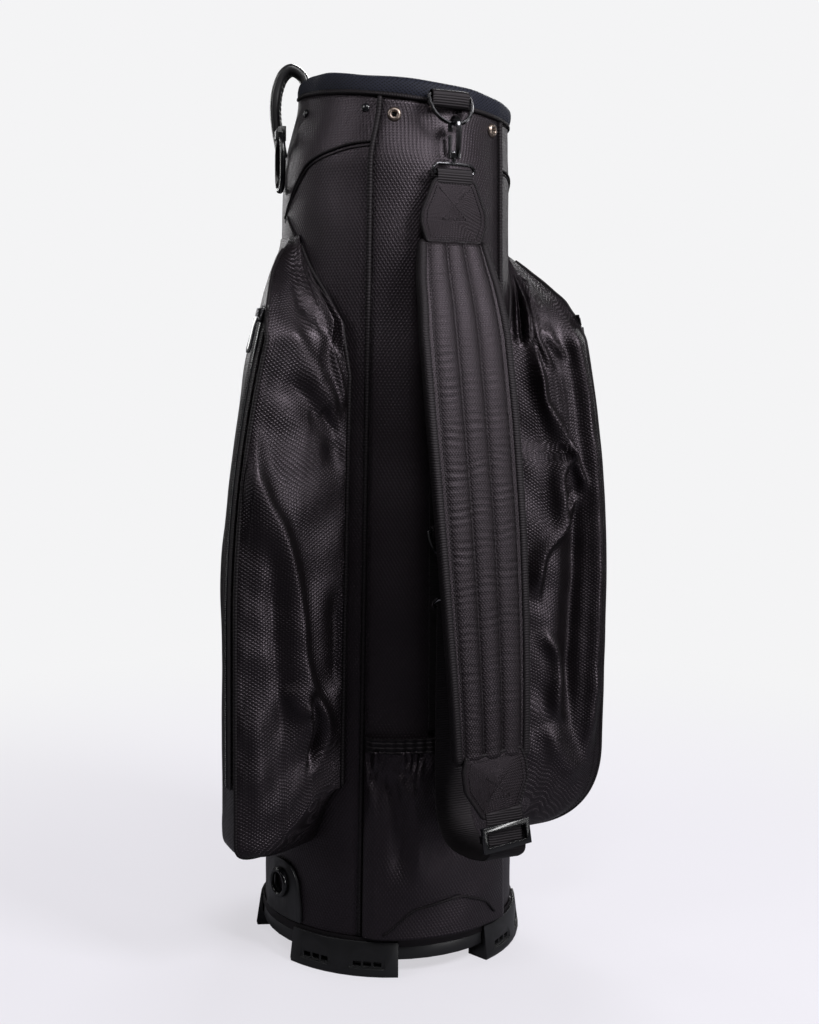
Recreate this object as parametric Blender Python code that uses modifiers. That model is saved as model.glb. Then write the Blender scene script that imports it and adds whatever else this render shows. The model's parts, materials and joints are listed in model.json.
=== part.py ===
"""Golf cart bag: a tapered fabric tube on a moulded four-footed base, with a tilted padded collar,
club dividers, side and front pockets, a grab handle, and a padded shoulder strap that hangs from
two D-rings. Metres, +Z up, floor at z = 0. The bag stands with its strap side near -Y.

Two frames are used. The bag frame has its origin on the tube's axis at the floor, and the grab
handle on -X. The strap frame is the bag frame turned about Z by STRAP_TURN, so that the strap,
the rings and the pair of side pockets are symmetric about its YZ plane; there a point's distance
out from the tube's axis towards the strap is called s, which is -y."""

import math

import bmesh
import bpy
import numpy as np

# Place of the tube's axis, which centres the whole bag on the origin
AXIS_X = -0.0284
AXIS_Y = 0.0038

STRAP_TURN = math.radians(26)
GAP = 0.0003
SEAM_GAP = 0.0007
FACET = math.radians(7.5)
ROUND_STEPS = 48

# Tube of sewn fabric panels
WALL = 0.003
TUBE_FOOT_R = 0.1347
TUBE_NECK_R = 0.1170
TUBE_BOTTOM_Z = 0.0295
NECK_Z = 0.80
PANEL_EDGE = math.radians(37.5)

# Collar, tilted so that the handle side is high
COLLAR_X = 0.0067
COLLAR_Z = 0.8652
COLLAR_R = 0.1085
COLLAR_TILT = math.radians(6.5)
FRAME_OUTER_R = 0.1037
FRAME_INNER_R = 0.0965
FRAME_DEPTH = 0.030
FRAME_RISE = 0.012

# Club dividers: cross bars at these places along the slope, and full-length panels below them
CROSS_BARS = (-0.057, -0.019, 0.019, 0.057)
BAR_T = 0.006
GRID_R = 0.0960
GRID_RISE = 0.0085
ROW_SPLIT = 0.031
PANEL_T = 0.0015
PANEL_R = 0.1030

# Moulded base
CUP_FLOOR_Z = 0.0153
CUP_FLOOR_T = 0.0032
CUP_R = 0.1355
CUP_WALL_R = 0.1303
CUP_TOP_Z = 0.055
FOOT_TURNS = (-45, 45, 135, -135)
FOOT_HALF = math.radians(24.3)
FOOT_TOP_Z = 0.035

# Side pockets, in the strap frame
POCKET_X = 0.2095
POCKET_Y = -0.098
POCKET_ARC_R = 1.2
POCKET_ARC_Z = 0.36
POCKET_TOP_Z = 0.725
POCKET_SHOULDER_Z = 0.665
POCKET_SEAM = math.radians(45)
POCKET_BACK = math.radians(127.5)
POCKET_CLEAR = 0.0007
ZIP_Y = POCKET_Y + 0.020
ZIP_LIFT = 0.0016
ZIP_TAPE_T = 0.0012
ZIP_TAPE_W = 0.026
SLIDER_Z = 0.655

# Strap hardware, in the strap frame: s outwards, z up
WEB_W = 0.040
WEB_T = 0.0016
HOOK_S = 0.1300
RING_WIRE_R = 0.0021
HOOK_WIRE_R = 0.0028
EYE_WIRE_R = 0.0018
UPPER_BAR = (0.1187, 0.8685)
UPPER_BOW_Z = 0.8405
LOWER_DROP = 0.4192
LOWER_HOOK_S = 0.1428
LOWER_BAR = (LOWER_HOOK_S - HOOK_S + UPPER_BAR[0], UPPER_BAR[1] - LOWER_DROP)

# Shoulder strap
PAD_T = 0.012
TAB_T = 0.005
BUCKLE_S = 0.2364
BUCKLE_Z = 0.172
BUCKLE_X = 0.009
BUCKLE_LEAN = math.radians(6)


# ---------------------------------------------------------------- scene and helpers

for old in list(bpy.data.objects):
    bpy.data.objects.remove(old)

BAG = bpy.data.collections.new("golf_cart_bag")
CUTTERS = bpy.data.collections.new("cutters")
bpy.context.scene.collection.children.link(BAG)
bpy.context.scene.collection.children.link(CUTTERS)


def empty(name, parent, location=(0, 0, 0), rotation=(0, 0, 0)):
    """A frame that pieces are placed in."""
    obj = bpy.data.objects.new(name, None)
    obj.parent = parent
    obj.location = location
    obj.rotation_euler = rotation
    BAG.objects.link(obj)
    return obj


BAG_AXIS = empty("bag_axis", None, (AXIS_X, AXIS_Y, 0))
STRAP_SIDE = empty("strap_side", BAG_AXIS, rotation=(0, 0, STRAP_TURN))
COLLAR = empty("collar_plane", BAG_AXIS, (COLLAR_X, 0, COLLAR_Z), (0, COLLAR_TILT, 0))


def finish(name, colour, roughness, metallic=0.0):
    """A Principled material with one colour."""
    material = bpy.data.materials.new(name)
    material.use_nodes = True
    shader = material.node_tree.nodes["Principled BSDF"]
    shader.inputs["Base Color"].default_value = (*colour, 1)
    shader.inputs["Roughness"].default_value = roughness
    shader.inputs["Metallic"].default_value = metallic
    return material


FABRIC = finish("charcoal_fabric", (0.035, 0.032, 0.037), 0.5)
WEBBING = finish("black_webbing", (0.012, 0.012, 0.014), 0.75)
MESH = finish("navy_air_mesh", (0.022, 0.024, 0.034), 0.8)
MOULDED = finish("moulded_black", (0.022, 0.022, 0.025), 0.45)
GLOSS = finish("gloss_black", (0.010, 0.010, 0.012), 0.18)
GUNMETAL = finish("gunmetal", (0.10, 0.10, 0.11), 0.22, 1.0)
NICKEL = finish("nickel", (0.60, 0.56, 0.52), 0.25, 1.0)
DIVIDER = finish("divider_lining", (0.03, 0.03, 0.034), 0.8)
ALUMINIUM = finish("aluminium_rod", (0.62, 0.63, 0.65), 0.35, 1.0)


def add(name, data, material, parent, location=(0, 0, 0), rotation=(0, 0, 0)):
    """A named object with its material, placed in its parent's frame."""
    obj = bpy.data.objects.new(name, data)
    data.materials.append(material)
    obj.parent = parent
    obj.location = location
    obj.rotation_euler = rotation
    BAG.objects.link(obj)
    return obj


def mesh_from(name, vertices, faces):
    mesh = bpy.data.meshes.new(name)
    mesh.from_pydata([tuple(v) for v in vertices], [], faces)
    work = bmesh.new()
    work.from_mesh(mesh)
    bmesh.ops.recalc_face_normals(work, faces=work.faces)
    work.to_mesh(mesh)
    work.free()
    return mesh


def shade(mesh, angle=35):
    mesh.shade_smooth()
    mesh.set_sharp_from_angle(angle=math.radians(angle))


def loft(name, rings, material, parent, location=(0, 0, 0), rotation=(0, 0, 0)):
    """Joins closed rings of equally many points in order, and caps the two ends."""
    n = len(rings[0])
    faces = [tuple(range(n)), tuple(range((len(rings) - 1) * n, len(rings) * n))]
    for i in range(len(rings) - 1):
        for j in range(n):
            k = (j + 1) % n
            faces.append((i * n + j, i * n + k, (i + 1) * n + k, (i + 1) * n + j))
    mesh = mesh_from(name, np.concatenate(rings), faces)
    shade(mesh)
    return add(name, mesh, material, parent, location, rotation)


def sheet(name, grid, thickness, material, parent):
    """A curved sheet on a grid of points, whose outward face is given and which thickens inwards."""
    rows, columns = grid.shape[:2]
    faces = []
    for i in range(rows - 1):
        for j in range(columns - 1):
            a = i * columns + j
            faces.append((a, a + 1, a + columns + 1, a + columns))
    mesh = bpy.data.meshes.new(name)
    mesh.from_pydata([tuple(v) for v in grid.reshape(-1, 3)], [], faces)
    shade(mesh)
    obj = add(name, mesh, material, parent)
    solid = obj.modifiers.new("thickness", "SOLIDIFY")
    solid.thickness = thickness
    solid.offset = -1
    solid.use_even_offset = True
    return obj


def turned(name, profile, material, parent, location=(0, 0, 0), rotation=(0, 0, 0), steps=ROUND_STEPS):
    """A profile of (radius, height) points, down its outer side, turned about Z."""
    mesh = bpy.data.meshes.new(name)
    ring = profile[0][0] > 0 or profile[-1][0] > 0
    edges = [(i, i + 1) for i in range(len(profile) - 1)]
    if ring:
        edges.append((len(profile) - 1, 0))
    mesh.from_pydata([(r, 0, z) for r, z in profile], edges, [])
    obj = add(name, mesh, material, parent, location, rotation)
    screw = obj.modifiers.new("turn", "SCREW")
    screw.steps = steps
    screw.render_steps = steps
    screw.use_merge_vertices = True
    screw.merge_threshold = 0.00005
    screw.use_smooth_shade = True
    return obj


def wire(name, points, radius, material, parent, closed=False, sides=2):
    """A round wire along straight steps between points, with filled ends."""
    curve = bpy.data.curves.new(name, "CURVE")
    curve.dimensions = "3D"
    curve.bevel_depth = radius
    curve.bevel_resolution = sides
    curve.use_fill_caps = not closed
    spline = curve.splines.new("POLY")
    spline.points.add(len(points) - 1)
    for point, place in zip(spline.points, points):
        point.co = (*place, 1)
    spline.use_cyclic_u = closed
    return add(name, curve, material, parent)


def plate(name, outlines, thickness, material, parent, location=(0, 0, 0), rotation=(0, 0, 0)):
    """A flat outline, with any holes, in its own XY plane."""
    curve = bpy.data.curves.new(name, "CURVE")
    curve.dimensions = "2D"
    curve.fill_mode = "BOTH"
    curve.extrude = thickness / 2
    for outline in outlines:
        spline = curve.splines.new("POLY")
        spline.points.add(len(outline) - 1)
        for point, (x, y) in zip(spline.points, outline):
            point.co = (x, y, 0, 1)
        spline.use_cyclic_u = True
    return add(name, curve, material, parent, location, rotation)


def as_mesh(obj):
    """The same piece as a mesh, with its caps welded, so that it can be cut or joined."""
    bpy.context.view_layer.update()
    graph = bpy.context.evaluated_depsgraph_get()
    mesh = bpy.data.meshes.new_from_object(obj.evaluated_get(graph))
    work = bmesh.new()
    work.from_mesh(mesh)
    bmesh.ops.remove_doubles(work, verts=work.verts, dist=0.000001)
    bmesh.ops.recalc_face_normals(work, faces=work.faces)
    work.to_mesh(mesh)
    work.free()
    name = obj.name
    new = bpy.data.objects.new(name + "_mesh", mesh)
    new.parent = obj.parent
    new.location = obj.location
    new.rotation_euler = obj.rotation_euler
    BAG.objects.link(new)
    bpy.data.objects.remove(obj)
    new.name = name
    return new


def box(name, size, material, parent, location=(0, 0, 0), rotation=(0, 0, 0)):
    mesh = bpy.data.meshes.new(name)
    work = bmesh.new()
    bmesh.ops.create_cube(work, size=1)
    bmesh.ops.scale(work, vec=size, verts=work.verts)
    work.to_mesh(mesh)
    work.free()
    return add(name, mesh, material, parent, location, rotation)


def rod(name, radius, length, material, parent, location=(0, 0, 0), rotation=(0, 0, 0), sides=16):
    """A straight round bar along its own Z, centred on its place."""
    mesh = bpy.data.meshes.new(name)
    work = bmesh.new()
    bmesh.ops.create_cone(
        work, cap_ends=True, segments=sides, radius1=radius, radius2=radius, depth=length
    )
    work.to_mesh(mesh)
    work.free()
    shade(mesh)
    return add(name, mesh, material, parent, location, rotation)


def combine(obj, other, operation):
    """Joins a shape to a piece, or cuts it out, and keeps the shape as a hidden helper."""
    BAG.objects.unlink(other)
    CUTTERS.objects.link(other)
    other.hide_render = True
    other.display_type = "WIRE"
    modifier = obj.modifiers.new(operation.lower(), "BOOLEAN")
    modifier.operation = operation
    modifier.object = other
    modifier.solver = "EXACT"


def soften(obj, width, segments=2):
    bevel = obj.modifiers.new("soft_edges", "BEVEL")
    bevel.width = width
    bevel.segments = segments
    bevel.limit_method = "ANGLE"
    bevel.angle_limit = math.radians(40)


def smooth_path(points, steps):
    """A Catmull-Rom curve through the points, with this many steps in each span."""
    p = np.array(points, float)
    p = np.concatenate([[2 * p[0] - p[1]], p, [2 * p[-1] - p[-2]]])
    out = []
    for i in range(1, len(p) - 2):
        for t in np.arange(steps) / steps:
            a = 2 * p[i]
            b = p[i + 1] - p[i - 1]
            c = 2 * p[i - 1] - 5 * p[i] + 4 * p[i + 1] - p[i + 2]
            d = -p[i - 1] + 3 * p[i] - 3 * p[i + 1] + p[i + 2]
            out.append((a + b * t + c * t**2 + d * t**3) / 2)
    out.append(p[-2])
    return np.array(out)


# ---------------------------------------------------------------- tube


def ease(t):
    return t * t * (3 - 2 * t)


def tube_radius(z):
    """Radius of the straight taper below the neck."""
    return TUBE_FOOT_R + (TUBE_NECK_R - TUBE_FOOT_R) * z / NECK_Z


def collar_height(x):
    """Height of the collar's lower plane at x in the bag frame."""
    return COLLAR_Z - math.tan(COLLAR_TILT) * (x - COLLAR_X)


def neck_point(turn, t):
    """A point between the neck, t = 0, and the collar, t = 1, in the bag frame."""
    top_x = COLLAR_X + COLLAR_R * math.sin(turn)
    z = NECK_Z + t * (collar_height(top_x) - GAP - NECK_Z)
    radius = TUBE_NECK_R + (COLLAR_R - TUBE_NECK_R) * ease(t)
    return (COLLAR_X * ease(t) + radius * math.sin(turn), -radius * math.cos(turn), z)


def tube_point(turn, z):
    radius = tube_radius(z)
    return (radius * math.sin(turn), -radius * math.cos(turn), z)


TUBE_ROWS = (TUBE_BOTTOM_Z, 0.2, 0.4, 0.6, NECK_Z)
NECK_ROWS = (0.35, 0.7, 1.0)


def tube_panel(name, start, end):
    """One sewn panel of the tube, between two seams given as turns in the strap frame."""
    steps = round((end - start) / FACET)
    seam = SEAM_GAP / 2 / TUBE_NECK_R
    turns = np.linspace(start + seam, end - seam, steps + 1) + STRAP_TURN
    rows = [[tube_point(turn, z) for turn in turns] for z in TUBE_ROWS]
    rows += [[neck_point(turn, t) for turn in turns] for t in NECK_ROWS]
    return sheet(name, np.array(rows), WALL, FABRIC, BAG_AXIS)


def make_tube():
    tube_panel("spine_panel", -PANEL_EDGE, PANEL_EDGE)
    tube_panel("right_side_panel", PANEL_EDGE, math.pi - PANEL_EDGE)
    tube_panel("front_panel", math.pi - PANEL_EDGE, math.pi + PANEL_EDGE)
    tube_panel("left_side_panel", math.pi + PANEL_EDGE, 2 * math.pi - PANEL_EDGE)


# ---------------------------------------------------------------- base


def make_foot(name, turn_degrees):
    """An arc-shaped foot that grips the cup's rim, with two recessed windows of three slots."""
    section = [
        (0.1180, 0.0),
        (0.1425, 0.0),
        (0.1435, 0.0040),
        (0.1390, FOOT_TOP_Z),
        (0.1366, FOOT_TOP_Z),
        (0.1366, CUP_FLOOR_Z - GAP),
        (0.1180, CUP_FLOOR_Z - GAP),
    ]
    middle = math.radians(turn_degrees)
    rings = []
    for turn in np.linspace(-FOOT_HALF, FOOT_HALF, 9):
        s, c = math.sin(turn), math.cos(turn)
        rings.append(np.array([(r * s, -r * c, z) for r, z in section]))
    foot = loft(name, rings, MOULDED, STRAP_SIDE, rotation=(0, 0, middle))
    window_turn = math.radians(11.5)
    for side in (-1, 1):
        place = empty(f"{name}_window_{side}", foot, rotation=(0, 0, side * window_turn))
        window = box(f"{name}_window_cut_{side}", (0.036, 0.006, 0.020), MOULDED, place)
        window.location = (0, -0.1431, 0.0185)
        combine(foot, window, "DIFFERENCE")
        for i in (-1, 0, 1):
            slot = box(f"{name}_slot_cut_{side}_{i}", (0.008, 0.012, 0.005), MOULDED, place)
            slot.location = (i * 0.0105, -0.1400, 0.0125)
            combine(foot, slot, "DIFFERENCE")


def make_base():
    floor_top = CUP_FLOOR_Z + CUP_FLOOR_T
    turned(
        "base_cup",
        [
            (0, floor_top),
            (0.1275, floor_top),
            (0.1275, CUP_TOP_Z),
            (CUP_WALL_R, CUP_TOP_Z),
            (CUP_WALL_R, 0.0290),
            (0.1350, 0.0288),
            (CUP_R, 0.0165),
            (0.1345, CUP_FLOOR_Z),
            (0, CUP_FLOOR_Z),
        ],
        MOULDED,
        STRAP_SIDE,
    )
    names = ("foot_back_left", "foot_back_right", "foot_front_right", "foot_front_left")
    for name, turn in zip(names, FOOT_TURNS):
        make_foot(name, turn)
    turned(
        "base_binding",
        [
            (0.1360, 0.0382), (0.1364, 0.0355), (0.1364, 0.0305), (0.1360, 0.0292), (0.1351, 0.0292),
            (0.1351, 0.0382),
        ],
        WEBBING,
        STRAP_SIDE,
    )


def make_eyelet():
    """A curved plate low on the left, with a raised round eyelet."""
    middle = math.radians(-54.5)
    half = math.radians(14.2)
    low, high = 0.0400, 0.0990
    lift = 0.0009
    thickness = 0.0025
    columns = np.linspace(-1, 1, 13)
    rows = []
    for v in np.linspace(0, 1, 6):
        row = []
        for u in columns:
            top = low + (high - low) * (1 - abs(u) ** 2.6) ** 0.5 * 0.72 + 0.28 * (high - low)
            z = low + v * (min(top, high) - low)
            radius = tube_radius(z) + lift + thickness
            turn = middle + u * half
            row.append((radius * math.sin(turn), -radius * math.cos(turn), z))
        rows.append(row)
    eyelet_plate = sheet("base_eyelet_plate", np.array(rows), thickness, MOULDED, BAG_AXIS)
    centre_z = 0.0741
    radius = tube_radius(centre_z) + lift + thickness
    place = (radius * math.sin(middle), -radius * math.cos(middle), centre_z)
    facing = (math.pi / 2, 0, middle)
    hole = rod("eyelet_hole_cut", 0.0110, 0.012, MOULDED, BAG_AXIS, place, facing, sides=24)
    combine(eyelet_plate, hole, "DIFFERENCE")
    profile = [
        (0.0118, 0.0045), (0.0140, 0.0045), (0.0155, 0.0032), (0.0155, 0.0006), (0.0112, 0.0006),
        (0.0106, 0.0030),
    ]
    turned("base_eyelet_ring", profile, GLOSS, BAG_AXIS, place, facing, steps=24)


# ---------------------------------------------------------------- collar, dividers, stays, handle


def make_collar():
    turned(
        "top_frame",
        [
            (FRAME_OUTER_R, FRAME_RISE),
            (FRAME_OUTER_R, -FRAME_DEPTH),
            (FRAME_INNER_R, -FRAME_DEPTH),
            (FRAME_INNER_R, FRAME_RISE),
        ],
        MOULDED,
        COLLAR,
    )
    pad = turned(
        "collar_pad",
        [
            (0.1000, 0.0210),
            (0.1060, 0.0205),
            (0.1098, 0.0170),
            (0.1105, 0.0100),
            (0.1100, 0.0040),
            (0.1085, 0.0005),
            (0.1045, 0.0005),
            (0.1045, 0.0125),
            (0.0950, 0.0125),
            (0.0940, 0.0150),
            (0.0955, 0.0190),
        ],
        MESH,
        COLLAR,
    )
    notch = box("handle_notch_cut", (0.034, 0.0280, 0.050), MESH, COLLAR, (-0.1040, 0, 0.020))
    combine(pad, notch, "DIFFERENCE")


def cross_bar_half_length(x, limit, thickness):
    edge = abs(x) + thickness / 2
    return math.sqrt(limit**2 - edge**2)


def make_dividers():
    """A moulded grid of fourteen wells, and full-length panels that hang from its cross bars."""
    depth = FRAME_DEPTH + GRID_RISE
    middle_z = (GRID_RISE - FRAME_DEPTH) / 2
    grid = None
    for x in CROSS_BARS:
        half = cross_bar_half_length(x, GRID_R, BAR_T)
        bar = box(f"cross_bar_{x:+.3f}", (BAR_T, 2 * half, depth), MOULDED, COLLAR, (x, 0, middle_z))
        if grid is None:
            grid = bar
            grid.name = "divider_grid"
        else:
            combine(grid, bar, "UNION")
    rim = GRID_R - 0.0035
    edges = (-rim, *CROSS_BARS, rim)
    for row in range(5):
        low, high = edges[row], edges[row + 1]
        for y in (0,) if row == 2 else (-ROW_SPLIT, ROW_SPLIT):
            outer = math.sqrt(GRID_R**2 - (abs(y) + BAR_T / 2) ** 2)
            start, end = max(low, -outer), min(high, outer)
            size = (end - start, BAR_T, depth - 0.004)
            part = box(f"row_bar_{row}_{y:+.3f}", size, MOULDED, COLLAR, ((start + end) / 2, y, middle_z))
            combine(grid, part, "UNION")
    floor_top = CUP_FLOOR_Z + CUP_FLOOR_T + GAP
    for i, x in enumerate(CROSS_BARS):
        half = cross_bar_half_length(x, PANEL_R, PANEL_T)
        top = collar_height(COLLAR_X + x) - FRAME_DEPTH - 0.003
        size = (PANEL_T, 2 * half, top - floor_top)
        middle = (COLLAR_X + x, 0, (top + floor_top) / 2)
        box(f"divider_panel_{i + 1}", size, DIVIDER, BAG_AXIS, middle)


def make_stays():
    low = CUP_FLOOR_Z + CUP_FLOOR_T + GAP
    high = COLLAR_Z - FRAME_DEPTH - 0.004
    for name, side in (("stay_rod_near", -1), ("stay_rod_far", 1)):
        place = (COLLAR_X, side * 0.0998, (low + high) / 2)
        rod(name, 0.003, high - low, ALUMINIUM, BAG_AXIS, place, sides=12)


def rounded_section(half_a, half_b, corner=0.62):
    """Eight points of a rectangle with cut corners, as (a, b)."""
    a, b = half_a, half_b
    ca, cb = a * corner, b - a * (1 - corner)
    return [(a, -cb), (a, cb), (ca, b), (-ca, b), (-a, cb), (-a, -cb), (-ca, -b), (ca, -b)]


def make_handle():
    """A moulded arch in the bag's XZ plane, from the top frame out and down to the neck."""
    path = smooth_path(
        [
            (-0.0930, 0.8892),
            (-0.0936, 0.8960),
            (-0.0985, 0.9062),
            (-0.1090, 0.9122),
            (-0.1185, 0.9050),
            (-0.1242, 0.8890),
            (-0.1256, 0.8705),
            (-0.1240, 0.8520),
            (-0.1212, 0.8370),
            (-0.1186, 0.8240),
        ],
        2,
    )
    tangents = np.gradient(path, axis=0)
    tangents /= np.linalg.norm(tangents, axis=1)[:, None]
    rings = []
    for (x, z), (tx, tz) in zip(path, tangents):
        ring = [(x + a * tz, b, z - a * tx) for a, b in rounded_section(0.0046, 0.0130)]
        rings.append(np.array(ring))
    loft("grab_handle", rings, MOULDED, BAG_AXIS)


def make_towel_ring():
    """An oval ring that hangs from a small clip, flat against the neck."""
    turn = math.radians(-74)
    top_z = 0.8430
    place = empty("towel_ring_place", BAG_AXIS, rotation=(0, 0, turn))
    s = 0.1222
    half_w, half_h, wire_r = 0.0150, 0.0272, 0.0030
    points = []
    for angle in np.linspace(0, 2 * math.pi, 25)[:-1]:
        x = half_w * math.copysign(abs(math.cos(angle)) ** 0.75, math.cos(angle))
        z = half_h * math.copysign(abs(math.sin(angle)) ** 0.75, math.sin(angle))
        points.append((x, 0, z))
    ring = wire("towel_ring", points, wire_r, GLOSS, place, closed=True)
    ring.location = (0, -s, top_z - wire_r - half_h)
    bar_z = top_z - wire_r
    outline = [
        (-0.0052, -0.0048), (-0.0052, 0.0100), (0.0010, 0.0100), (0.0052, 0.0048), (0.0052, -0.0030),
        (0.0030, -0.0048),
    ]
    hole = [(0.0036 * math.cos(a), 0.0036 * math.sin(a)) for a in np.linspace(0, 2 * math.pi, 17)[:-1]]
    clip = plate("towel_ring_clip", [outline, hole], 0.008, MOULDED, place)
    clip.location = (0, -s, bar_z)
    clip.rotation_euler = (math.pi / 2, 0, -math.pi / 2)


def make_snaps():
    """Press studs under the collar that hold a rain hood."""
    nickel = [
        (0.0, 0.0026), (0.0022, 0.0026), (0.0026, 0.0016), (0.0045, 0.0016), (0.0058, 0.0024),
        (0.0068, 0.0010), (0.0068, 0.0), (0.0, 0.0),
    ]
    black = [(0.0, 0.0024), (0.0026, 0.0022), (0.0042, 0.0010), (0.0042, 0.0), (0.0, 0.0)]
    studs = (
        ("hood_stud_left", -29.5, 0.8500, nickel, NICKEL),
        ("hood_stud_right", 29.0, 0.8435, nickel, NICKEL),
        ("hood_stud_corner", -44.5, 0.8570, black, GLOSS),
        ("hood_stud_handle", -86.0, 0.8590, black, GLOSS),
    )
    for name, turn_degrees, z, profile, material in studs:
        turn = math.radians(turn_degrees) + STRAP_TURN
        top_x = COLLAR_X + COLLAR_R * math.sin(turn)
        t = (z - NECK_Z) / (collar_height(top_x) - GAP - NECK_Z)
        surface = np.array(neck_point(turn, t))
        up = np.array(neck_point(turn, t + 0.03)) - surface
        along = np.array((math.cos(turn), math.sin(turn), 0))
        normal = np.cross(along, up / np.linalg.norm(up))
        place = surface + 0.0007 * normal
        lean = math.asin(normal[2])
        turned(name, profile, material, BAG_AXIS, place, (math.pi / 2 - lean, 0, turn), steps=16)


# ---------------------------------------------------------------- side pockets


def pocket_edge_x(z):
    """Where the pocket's piped edge stands: straight low down, then the arc that the zip follows."""
    if z < POCKET_ARC_Z:
        return POCKET_X
    return POCKET_X - POCKET_ARC_R + math.sqrt(POCKET_ARC_R**2 - (z - POCKET_ARC_Z) ** 2)


def pocket_ring(z, fullness):
    """The right pocket's outline at one height: round the outside, then back along the tube."""
    ex = pocket_edge_x(z)
    ey = POCKET_Y
    outside = [
        (ex - 0.058, ey - 0.002),
        (ex - 0.020, ey - 0.003),
        (ex, ey),
        (ex + 0.0005, ey + 0.020),
        (ex - 0.0005, ey + 0.042),
        (ex - 0.0090, ey + 0.070),
        (ex - 0.0180, ey + 0.098),
        (ex - 0.0290, ey + 0.126),
        (ex - 0.0440, ey + 0.152),
        (ex - 0.0660, ey + 0.174),
    ]
    radius = tube_radius(z) + POCKET_CLEAR
    steps = round((POCKET_BACK - POCKET_SEAM) / FACET)
    turns = np.linspace(POCKET_SEAM, POCKET_BACK, steps + 1)
    inner = [(radius * math.sin(t), -radius * math.cos(t)) for t in turns]
    ring = [inner[0]]
    for x, y in outside:
        turn = math.atan2(x, -y)
        near = (radius + 0.0004) * np.array([math.sin(turn), -math.cos(turn)])
        ring.append(near + fullness * (np.array([x, y]) - near))
    ring += inner[::-1][:-1]
    return np.array([(x, y, z) for x, y in ring])


def rounded(t, power):
    """Height of a rounded corner: 1 at t = 0, 0 at t = 1."""
    return (1 - min(t, 1) ** power) ** (1 / power)


def make_side_pocket(side, bottom_z, corner, power):
    """A long pocket on one side; side is -1 for left, 1 for right."""
    word = "left" if side < 0 else "right"
    rings = []
    for t in (1.0, 0.93, 0.8, 0.55, 0.3, 0.0):
        rings.append(pocket_ring(bottom_z + corner * (1 - t), max(0.12, rounded(t, power))))
    for z in (0.28, 0.36, 0.42, 0.48, 0.54, 0.60, 0.64, POCKET_SHOULDER_Z):
        rings.append(pocket_ring(z, 1.0))
    rise = POCKET_TOP_Z - POCKET_SHOULDER_Z
    for t in (0.35, 0.65, 0.87, 1.0):
        rings.append(pocket_ring(POCKET_SHOULDER_Z + t * rise, max(0.10, rounded(t, 2))))
    mirror = np.array([side, 1, 1])
    loft(f"{word}_pocket", [ring * mirror for ring in rings], FABRIC, STRAP_SIDE)

    rings = []
    for z in np.concatenate([[0.20], np.linspace(0.30, POCKET_SHOULDER_Z, 12)]):
        angle = math.asin(max(0.0, z - POCKET_ARC_Z) / POCKET_ARC_R)
        nx, nz = math.cos(angle), math.sin(angle)
        ring = []
        for lift, y in ((0, -0.5), (0, 0.5), (1, 0.5), (1, -0.5)):
            out = ZIP_LIFT + lift * ZIP_TAPE_T
            ring.append((side * (pocket_edge_x(z) + out * nx), ZIP_Y + y * ZIP_TAPE_W, z + out * nz))
        rings.append(np.array(ring))
    loft(f"{word}_zip_tape", rings, WEBBING, STRAP_SIDE)

    angle = math.asin((SLIDER_Z - POCKET_ARC_Z) / POCKET_ARC_R)
    seat = empty(
        f"{word}_zip_seat", STRAP_SIDE, (side * pocket_edge_x(SLIDER_Z), ZIP_Y, SLIDER_Z),
        (0, -side * angle, 0),
    )
    lift = ZIP_LIFT + ZIP_TAPE_T + GAP
    make_slider(word, seat, side, lift)


def make_slider(word, seat, side, lift):
    """A zip slider and its pull, on a surface that faces +X of the seat times side."""
    slider = box(
        f"{word}_zip_slider", (0.0036, 0.0095, 0.0130), GUNMETAL, seat, (side * (lift + 0.0018), 0, 0),
    )
    soften(slider, 0.0008, 1)
    bridge = box(
        f"{word}_bridge", (0.0030, 0.0030, 0.0080), GUNMETAL, seat, (side * (lift + 0.0046), 0, 0.0015),
    )
    combine(slider, bridge, "UNION")
    outline = [
        (-0.0050, 0.0), (-0.0040, -0.0110), (-0.0055, -0.0300), (-0.0030, -0.0340), (0.0030, -0.0340),
        (0.0055, -0.0300), (0.0040, -0.0110), (0.0050, 0.0),
    ]
    pull = plate(f"{word}_zip_pull", [outline], 0.0020, GLOSS, seat)
    pull.location = (side * (lift + 0.0050), 0, -0.0040)
    pull.rotation_euler = (math.pi / 2, 0, math.pi / 2)


# ---------------------------------------------------------------- front pockets


def front_pocket(word, low, high, half_width, reach, zip_z, corner):
    """A pocket on the side away from the strap, with a straight zip across its face."""
    rings = []
    levels = [(low + corner * (1 - t), max(0.15, rounded(t, 2.4))) for t in (1.0, 0.85, 0.5, 0.0)]
    levels += [(high - corner * (1 - t), max(0.15, rounded(t, 2.4))) for t in (0.0, 0.5, 0.85, 1.0)]
    for z, fullness in levels:
        radius = tube_radius(z) + POCKET_CLEAR
        end = math.asin(min(0.98, (half_width + 0.004) / radius))
        steps = max(4, math.ceil(2 * end / FACET))
        inner = [(radius * math.sin(t), radius * math.cos(t)) for t in np.linspace(-end, end, steps + 1)]
        outside = [
            (half_width + 0.004, reach - 0.045),
            (half_width + 0.003, reach - 0.022),
            (half_width - 0.008, reach - 0.006),
            (half_width - 0.024, reach),
            (0, reach),
            (-half_width + 0.024, reach),
            (-half_width + 0.008, reach - 0.006),
            (-half_width - 0.003, reach - 0.022),
            (-half_width - 0.004, reach - 0.045),
        ]
        ring = list(inner)
        for x, y in outside:
            turn = math.atan2(x, y)
            near = (radius + 0.0004) * np.array([math.sin(turn), math.cos(turn)])
            ring.append(near + fullness * (np.array([x, y]) - near))
        rings.append(np.array([(x, y, z) for x, y in ring]))
    loft(f"{word}_pocket", rings, FABRIC, STRAP_SIDE)
    seat = empty(f"{word}_zip_seat", STRAP_SIDE, (half_width - 0.030, reach, zip_z), (0, 0, math.pi / 2))
    make_slider(word, seat, 1, 0.0012)


# ---------------------------------------------------------------- bottle pocket and webbing


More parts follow.
